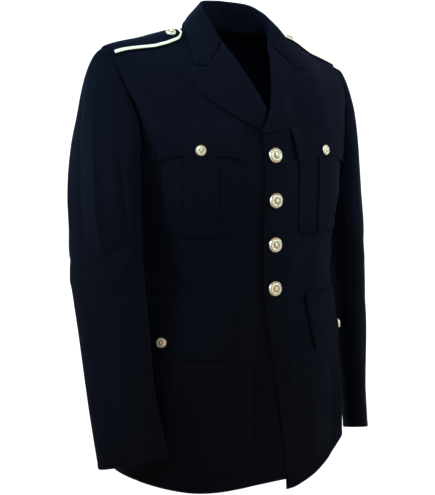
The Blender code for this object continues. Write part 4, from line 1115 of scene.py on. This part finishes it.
def flap_bottom(share, size):
    """Height of a flap's lower edge: two arches between its corners and its middle point."""
    slope = (size["point"] - size["corner"]) * (1 - np.abs(2 * share - 1))
    return size["corner"] + slope + size["arch"] * np.abs(np.sin(2 * np.pi * share)) ** 0.8


def build_flap(name, side, pocket, rows, near, far, seam, low_edge, lean):
    """A pocket flap, its lower edge free, dimpled a little round its button."""
    share = dense_ends(72, 0.008)
    girth = near + (far - near) * share
    z = low_edge(share) * (1 - rows) + seam(share) * rows
    lean = lean + np.zeros(z.shape)
    around = np.hypot(girth - pocket["button"], z - pocket["button_z"])
    lift = 0.0007 * np.sin(6.0 * share + 1.0 + side) * (1 - rows)
    high = lean + FLAP_WALL - FLAP_DIMPLE * bump(around, DIMPLE_REACH) + lift
    low = np.maximum(lean + lift, 0.0003)
    outer, inner = lay(girth, z, low, high, side, ("top",), ("left", "right", "bottom"))
    add_cloth(name, outer, inner)
    inset = STITCH_INSET
    lines = [edge_line(outer, edge, inset, inset) for edge in ("left", "right", "bottom")]
    lines.append(edge_line(outer, "top", TRIM_STITCH_INSET, 0.001))
    add_stitches(f"{name}_stitches", lines)


def build_chest_flap(word, side):
    """The chest flap leaves the front at its seam and lies over the pocket below."""
    place = CHEST_PLACES[side]
    rows = dense_ends(44, 0.012)[:, None]
    pocket = {
        "button": place["button"],
        "button_z": CHEST_BUTTON_Z,
        "under": [f"chest_pocket_{word}_cloth", f"front_{word}_cloth"],
    }
    build_flap(
        f"chest_flap_{word}",
        side,
        pocket,
        rows,
        place["flap_low"] * (1 - rows) + place["flap_top"] * rows,
        place["flap_far"],
        lambda share: place["seam_near"] + (place["seam_far"] - place["seam_near"]) * share,
        lambda share: flap_bottom(share, CHEST_FLAP),
        LAID_ON + (FLAP_HEIGHT - LAID_ON) * eased(1.0, 0.74, rows),
    )


def build_lower_flap(word, side):
    """The lower flap lies flat on the skirt, a little higher at the side than in front."""
    place, size = LOWER_PLACES[side], LOWER_FLAP
    rows = dense_ends(44, 0.012)[:, None]
    pocket = {"button": place["button"], "button_z": LOWER_BUTTON_Z, "under": [f"front_{word}_cloth"]}
    build_flap(
        f"lower_flap_{word}",
        side,
        pocket,
        rows,
        place["near_low"] * (1 - rows) + place["near_top"] * rows,
        place["far_low"] * (1 - rows) + place["far_top"] * rows,
        lambda share: size["top"] + size["rise"] * share,
        lambda share: flap_bottom(share, size) + size["rise"] * share,
        size["lift"],
    )


def loop_place(x, across, side):
    """(x, y) on a shoulder loop: x before its sleeve end is curved, across from -1 to 1."""
    plan = np.array(LOOP_PLAN)
    middle = np.interp(x, plan[:, 0], plan[:, 1])
    half = np.interp(x, plan[:, 0], plan[:, 2]) + LOOP_FULL[side]
    end = np.clip((LOOP_INNER + LOOP_ROUND - x) / LOOP_ROUND, 0, 1)
    half = half * (1 - LOOP_TAPER * end ** 2.2)
    share = (x - LOOP_INNER) / (LOOP_OUTER - LOOP_INNER)
    hollowed = x - LOOP_HOLLOW * share * across ** 2
    return np.stack([hollowed, middle + half * across + LOOP_SET[side]], axis=-1)


def loop_edge(inset, side):
    """(x, y) from the sleeve end round the buttoned end and back, some way inside the loop's edge."""
    start = np.linspace(1.0, 0.0, 60) ** 1.4
    x = LOOP_INNER + inset + (LOOP_OUTER - BRAID_END - LOOP_INNER - inset) * start
    tip = np.linspace(-1, 1, 15)[1:-1]
    front = loop_place(x, np.full(len(x), -1.0), side) + np.array([0.0, inset])
    back = loop_place(x, np.full(len(x), 1.0), side) - np.array([0.0, inset])
    end = front[-1] + (back[-1] - front[-1]) * (tip[:, None] + 1) / 2
    return np.concatenate([front, end, back[::-1]])


def build_shoulder_loop(word, side):
    """A stiff strap sewn at the sleeve and buttoned near the collar, with gold piping round its edge."""
    along = np.concatenate([np.linspace(0, 1, 30)[:-1] ** 1.6 * 0.4, np.linspace(0.4, 1, 30)])[None, :]
    across = (2 * dense_ends(22, 0.02) - 1)[:, None]
    base = LOOP_INNER + (LOOP_OUTER - LOOP_INNER) * along + np.zeros(across.shape)
    x, y = np.moveaxis(loop_place(base, across + np.zeros(base.shape), side), -1, 0)
    crown = LOOP_CROWN * (1 - across ** 2) * np.sin(math.pi * np.clip(along, 0, 1)) ** 0.5
    low = for_side(over_shoulder(x, y, 0.0005), side)
    high = for_side(over_shoulder(x, y, LOOP_LIFT + LOOP_WALL + crown), side)
    add_cloth(f"shoulder_loop_{word}", high, low)
    shares = np.linspace(0, 1, 9)
    rings = [loop_edge(BRAID_INSET + BRAID_WIDTH * share, side) for share in shares]
    x, y = np.moveaxis(np.stack(rings, axis=1), -1, 0)
    arch = np.sqrt(np.clip(1 - (2 * shares - 1) ** 2, 0, 1))[None, :]
    seat = LOOP_LIFT + LOOP_WALL
    low = for_side(over_shoulder(x, y, seat - 0.0004), side)
    high = for_side(over_shoulder(x, y, seat + 0.0002 + BRAID_RISE * arch), side)
    mesh = shell_mesh(f"braid_{word}", settled(high), settled(low))
    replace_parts(new_object(f"braid_{word}_piping", mesh, BRAID), f"braid_{word}")


def button_relief(radius, angle):
    """A plain star inside a ring of leaves and a roped rim, as a height in shares of the width."""
    ray = np.abs(((angle * RAYS / (2 * math.pi)) % 1.0) - 0.5) * 2
    reach = 0.16 + 0.30 * ray ** 1.6
    star = eased(0.0, 0.14, reach - radius) * (0.55 + 0.45 * ray)
    spot = 0.8 * bump(radius, 0.10)
    leaf_turn = (angle * LEAVES / (2 * math.pi) + 2.2 * radius) % 1.0 - 0.5
    leaf_wide = np.clip(1 - ((radius - 0.655) / 0.125) ** 2, 0, 1) ** 0.5 * 0.36
    leaf = eased(0.0, 0.10, leaf_wide - np.abs(leaf_turn)) * (1 - 0.4 * bump(leaf_turn, 0.05))
    ring = 0.55 * bump(radius - 0.525, 0.018)
    strand = 0.72 + 0.28 * np.cos(angle * 36 + 26 * radius)
    rope = 1.15 * bump(radius - 0.905, 0.042) * strand
    return RELIEF * (np.maximum(np.maximum(star, spot), np.maximum(leaf, ring)) + rope)


def build_button(node, size, point, normal, side):
    """A domed gilt button with a generic relief, its back just above the cloth."""
    turns = BUTTON_TURNS
    angle = np.linspace(0, 2 * math.pi, turns, endpoint=False)
    radii = np.concatenate([np.linspace(0.012, 0.80, 34), np.linspace(0.82, 0.985, 12)])
    ring_radius, ring_angle = np.meshgrid(radii, angle, indexing="ij")
    dome = np.interp(ring_radius, *np.array(BUTTON_DOME + BUTTON_BACK[:1]).T)
    relief = button_relief(ring_radius, ring_angle)
    heights = dome + relief
    back = [(np.full(turns, radius), np.full(turns, height)) for radius, height in BUTTON_BACK[:-1]]
    ring_radius = np.concatenate([ring_radius, [row[0] for row in back]])
    heights = np.concatenate([heights, [row[1] for row in back]])
    rows = len(ring_radius)
    x = ring_radius * np.cos(angle) * size / 2
    y = ring_radius * np.sin(angle) * size / 2
    points = np.stack([x, y, heights * size], axis=-1).reshape(-1, 3)
    crown = (BUTTON_DOME[0][1] + button_relief(0.0, 0.0)) * size
    points = np.concatenate([[[0, 0, crown]], points, [[0, 0, 0]]])
    start = 1 + np.arange(rows - 1)[:, None] * turns + np.arange(turns)
    after = 1 + np.arange(rows - 1)[:, None] * turns + (np.arange(turns) + 1) % turns
    quads = np.stack([start, start + turns, after + turns, after], axis=-1).reshape(-1, 4).tolist()
    first = [(0, 1 + turn, 1 + (turn + 1) % turns) for turn in range(turns)]
    edge = 1 + (rows - 1) * turns
    last = [(len(points) - 1, edge + (turn + 1) % turns, edge + turn) for turn in range(turns)]
    mesh = bpy.data.meshes.new(node)
    mesh.from_pydata(points, [], first + quads + last)
    # Colour share of each point from its relief height: the low field between raised parts takes the
    # painted shade tone
    shade = np.concatenate([[0.8], relief.ravel() / RELIEF, np.full(len(back) * turns, 0.5), [0.5]])
    tone = mesh.attributes.new("relief", "FLOAT", "POINT")
    tone.data.foreach_set("value", np.clip(shade, 0, 1.6).astype(np.float32))
    button = new_object(f"{node}_gilt", mesh, GILT)
    mirror = np.array([side, 1.0, 1.0])
    facing = Vector(normal * mirror)
    upright = Vector((0, 0, 1)) - facing * facing.z
    if upright.length < 0.5:
        upright = Vector((0, -1, 0)) - facing * -facing.y
    upright.normalize()
    across = upright.cross(facing)
    turn = Matrix((across, upright, facing)).transposed().to_4x4()
    button.matrix_world = Matrix.Translation(Vector(settled(point * mirror)) + facing * BUTTON_SEAT) @ turn
    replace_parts(button, node)


def build_buttons():
    """Four down the left front, one on each flap and one on each shoulder loop."""
    for number in range(4):
        u, v = seen_from_front(BUTTON_LINE_X, FIRST_BUTTON_Z - number * BUTTON_PITCH)
        point, normal = surface(body, u, v)
        point = point + normal * (OVERLAP_LIFT + body_folds(point, 1))
        build_button(f"front_button_{number + 1}", FRONT_BUTTON, point, normal, 1)
    for side, word in ((1, "left"), (-1, "right")):
        for name, girth, z, height in (
            ("chest_button", CHEST_PLACES[side]["button"], CHEST_BUTTON_Z, FLAP_HEIGHT),
            ("lower_button", LOWER_PLACES[side]["button"], LOWER_BUTTON_Z, LOWER_FLAP["lift"]),
        ):
            u, v = girth_place([girth], [z])
            point, normal = (value[0] for value in surface(body, u, v))
            point = point + normal * (height + FLAP_WALL - FLAP_DIMPLE + body_folds(point, side))
            build_button(f"{name}_{word}", SMALL_BUTTON, point, normal, side)
        spot = np.array([LOOP_BUTTON[0], LOOP_BUTTON[1] + LOOP_SET[side]])
        u, v = find_on_body(*spot, [0, 1], 0.2, 8.6)
        point, normal = surface(body, u, v)
        point = point + normal * (LOOP_LIFT + LOOP_WALL + 0.0004)
        build_button(f"loop_button_{word}", SMALL_BUTTON, point, normal, side)


def build_buttonholes():
    """Worked buttonholes, which run from each front button away from the edge."""
    lines = []
    for number in range(4):
        z = FIRST_BUTTON_Z - number * BUTTON_PITCH
        for offset in (-0.0008, 0.0008):
            x = BUTTON_LINE_X + np.linspace(0.004, 0.0135, 8)
            u, v = seen_from_front(x, z + offset)
            _, normal = surface(body, u, v)
            lines.append((on_cloth(u, v, front_lift(x, z, 1), 1), normal))
    add_stitches("front_buttonholes", lines, PURL)


def shader_of(name, **values):
    """A new node material and its Principled shader, with some of the shader's inputs given."""
    material = bpy.data.materials.new(name)
    material.use_nodes = True
    shader = material.node_tree.nodes["Principled BSDF"]
    for key, value in values.items():
        shader.inputs[key.replace("_", " ")].default_value = value
    return material, material.node_tree, shader


def add_node(tree, kind, **values):
    """A node with some of its settings and inputs given."""
    node = tree.nodes.new(kind)
    for key, value in values.items():
        if key in node.inputs:
            node.inputs[key].default_value = value
        else:
            setattr(node, key, value)
    return node


def add_noise(tree, scale, detail=2.0, roughness=0.5):
    """Cloudy changes from 0 to 1 that keep their place on a piece."""
    spot = add_node(tree, "ShaderNodeTexCoord")
    noise = add_node(tree, "ShaderNodeTexNoise", Scale=scale, Detail=detail, Roughness=roughness)
    tree.links.new(spot.outputs["Object"], noise.inputs["Vector"])
    return noise.outputs["Fac"]


def add_threads(tree, direction, scale, distortion=0.0):
    """Even ridges from 0 to 1 across the cloth."""
    place = add_node(tree, "ShaderNodeUVMap", uv_map="cloth")
    wave = add_node(tree, "ShaderNodeTexWave", bands_direction=direction, wave_profile="SIN")
    wave.inputs["Scale"].default_value = scale
    wave.inputs["Distortion"].default_value = distortion
    tree.links.new(place.outputs["UV"], wave.inputs["Vector"])
    return wave.outputs["Fac"]


def add_sum(tree, operation, *terms):
    """A sum or product of other nodes' outputs and plain numbers."""
    node = add_node(tree, "ShaderNodeMath", operation=operation)
    for socket, term in zip(node.inputs, terms):
        if isinstance(term, float):
            socket.default_value = term
        else:
            tree.links.new(term, socket)
    return node.outputs[0]


def add_tones(tree, shader, source, low, high, low_place=0.0, high_place=1.0):
    """Colour that goes from one tone to another as the source rises between two values."""
    tones = add_node(tree, "ShaderNodeValToRGB")
    first, last = tones.color_ramp.elements
    first.position, last.position = low_place, high_place
    first.color = (*low, 1.0)
    last.color = (*high, 1.0)
    tree.links.new(source, tones.inputs["Fac"])
    tree.links.new(tones.outputs["Color"], shader.inputs["Base Color"])


def add_relief(tree, shader, source, strength, distance):
    """Fine relief that only the light shows."""
    bumped = add_node(tree, "ShaderNodeBump", Strength=strength, Distance=distance)
    tree.links.new(source, bumped.inputs["Height"])
    tree.links.new(bumped.outputs["Normal"], shader.inputs["Normal"])


def cloth_material(name, colour, sheen, weave):
    """Matt wool: a fine diagonal weave, a soft nap and slight changes of tone."""
    material, tree, shader = shader_of(
        name,
        Roughness=0.92,
        Specular_IOR_Level=0.02,
        Sheen_Weight=sheen,
        Sheen_Roughness=0.55,
        Sheen_Tint=SHEEN_TINT,
    )
    broad = add_noise(tree, 7.0, 4.0, 0.6)
    fine = add_noise(tree, 900.0, 3.0, 0.7)
    mixed = add_sum(tree, "MULTIPLY_ADD", broad, 0.55, add_sum(tree, "MULTIPLY", fine, 0.45))
    dark, light = ([share * channel for channel in colour] for share in (1 - MOTTLE, 1 + MOTTLE))
    add_tones(tree, shader, mixed, dark, light, 0.30, 0.70)
    twill = add_threads(tree, "DIAGONAL", 260.0, 0.6)
    woven = add_sum(tree, "MULTIPLY_ADD", add_threads(tree, "X", 420.0), 0.4, twill)
    add_relief(tree, shader, add_sum(tree, "ADD", woven, fine), 0.55, weave)
    return material


def gilt_material():
    """Bright gilt: pale gold on the high points, a darker brown painted into the relief's hollows as
    shade.
    """
    material, tree, shader = shader_of("gilt_metal", Metallic=1.0)
    relief = add_node(tree, "ShaderNodeAttribute", attribute_name="relief")
    # Relief height sets the colour: painted shade in the hollows, pale gold on the high points
    add_tones(tree, shader, relief.outputs["Fac"], GILT_HOLLOW_SHADE, GILT_HIGH, 0.08, 0.55)
    grain = add_noise(tree, 1400.0)
    rough = add_node(tree, "ShaderNodeMapRange")
    rough.inputs["To Min"].default_value = 0.16
    rough.inputs["To Max"].default_value = 0.34
    tree.links.new(grain, rough.inputs["Value"])
    tree.links.new(rough.outputs["Result"], shader.inputs["Roughness"])
    add_relief(tree, shader, grain, 0.15, 0.00005)
    return material


def braid_material():
    """Pale gold thread laid close in slanting turns, darker in the grooves between them as painted shade.
    """
    material, tree, shader = shader_of("gold_braid", Metallic=0.35, Roughness=0.42)
    turns = add_threads(tree, "DIAGONAL", 210.0)
    # Colour follows the same ridges as the relief: painted shade in the grooves, pale gold on the crests
    add_tones(tree, shader, turns, BRAID_GROOVE_SHADE, BRAID_HIGH, 0.0, 0.55)
    add_relief(tree, shader, turns, 0.7, 0.0003)
    return material


def floor_material():
    """Matt white paper."""
    material, tree, shader = shader_of("studio_paper", Roughness=0.9)
    add_tones(tree, shader, add_noise(tree, 1.2), (0.93, 0.93, 0.93), (0.97, 0.97, 0.97))
    return material


def build_floor():
    """A pale paper floor that sweeps up behind, all round."""
    rings = [(0.0, 0.0), (1.5, 0.0), (3.0, 0.0)]
    for angle in np.linspace(0, math.pi / 2, 12)[1:]:
        rings.append((3.0 + 1.5 * math.sin(angle), 1.5 * (1 - math.cos(angle))))
    rings.append((4.5, 5.0))
    turns = 96
    points = [
        (radius * math.cos(turn), radius * math.sin(turn), FLOOR_Z + height)
        for radius, height in rings
        for turn in np.linspace(0, 2 * math.pi, turns, endpoint=False)
    ]
    faces = []
    for row in range(len(rings) - 1):
        for turn in range(turns):
            first, after = row * turns + turn, row * turns + (turn + 1) % turns
            faces.append((first, after, after + turns, first + turns))
    mesh = bpy.data.meshes.new("paper_floor")
    mesh.from_pydata(points, [], faces)
    mesh.materials.append(floor_material())
    mesh.shade_smooth()
    paper = bpy.data.objects.new("paper_floor", mesh)
    bpy.context.scene.collection.objects.link(paper)


def add_light(name, place, target, size, power, colour, spread):
    """A soft square light that faces a point, its beam held to some degrees by a grid."""
    light = bpy.data.lights.new(name, "AREA")
    light.color = colour
    light.shape = "RECTANGLE"
    light.size, light.size_y = size
    light.energy = power
    light.spread = math.radians(spread)
    item = bpy.data.objects.new(name, light)
    item.location = place
    item.rotation_euler = (Vector(target) - Vector(place)).to_track_quat("-Z", "Y").to_euler()
    bpy.context.scene.collection.objects.link(item)


def light_scene():
    """Soft studio light: blue grid lights on the upper half, and white paper lit all round."""
    bpy.context.scene.view_settings.view_transform = "Standard"
    world = bpy.data.worlds.new("studio")
    bpy.context.scene.world = world
    world.use_nodes = True
    world.node_tree.nodes["Background"].inputs["Color"].default_value = (*WHITE, 1.0)
    world.node_tree.nodes["Background"].inputs["Strength"].default_value = ROOM_LIGHT
    for row in LIGHTS:
        add_light(*row)


def place_camera():
    """The photograph's viewpoint."""
    yaw, pitch = CAMERA_YAW, CAMERA_PITCH
    right = Vector((math.cos(yaw), -math.sin(yaw), 0))
    ahead = Vector((math.sin(yaw), math.cos(yaw), 0))
    up = Vector((0, 0, 1))
    view = ahead * math.cos(pitch) - up * math.sin(pitch)
    rise = up * math.cos(pitch) + ahead * math.sin(pitch)
    place = -ahead * CAMERA_DISTANCE + right * CAMERA_ASIDE + up * CAMERA_HEIGHT
    turn = Matrix((right, rise, -view)).transposed().to_4x4()
    camera = bpy.data.cameras.new("camera")
    camera.sensor_fit = "AUTO"
    camera.sensor_width = SENSOR
    camera.lens = FOCAL_PIXELS / PICTURE_HEIGHT * SENSOR
    item = bpy.data.objects.new("camera", camera)
    item.matrix_world = Matrix.Translation(place) @ turn
    bpy.context.scene.collection.objects.link(item)
    bpy.context.scene.camera = item


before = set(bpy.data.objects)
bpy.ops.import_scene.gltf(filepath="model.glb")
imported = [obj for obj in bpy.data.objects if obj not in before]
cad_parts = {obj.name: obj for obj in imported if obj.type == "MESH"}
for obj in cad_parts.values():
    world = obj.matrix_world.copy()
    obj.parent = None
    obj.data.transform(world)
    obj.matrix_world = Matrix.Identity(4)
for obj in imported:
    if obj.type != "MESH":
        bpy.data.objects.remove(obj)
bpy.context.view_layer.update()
BODY_LINES = crease_lines(BODY_CREASES, body)
CLOTH = ("jacket_cloth", cloth_material("jacket_cloth", CLOTH_COLOUR, 0.012, 0.00011))
THREAD = ("jacket_cloth", cloth_material("sewing_thread", THREAD_COLOUR, 0.008, 0.00003))
BRAID = ("gold_braid", braid_material())
GILT = ("gilt_metal", gilt_material())
for side, word in ((1, "left"), (-1, "right")):
    build_front(word, side)
    build_side(word, side)
    build_back(word, side)
    build_sleeve(word, side)
    build_lapel(word, side)
    build_chest_pocket(word, side)
    build_chest_flap(word, side)
    build_lower_flap(word, side)
    build_shoulder_loop(word, side)
build_collar()
build_buttons()
build_buttonholes()
build_floor()
light_scene()
place_camera()
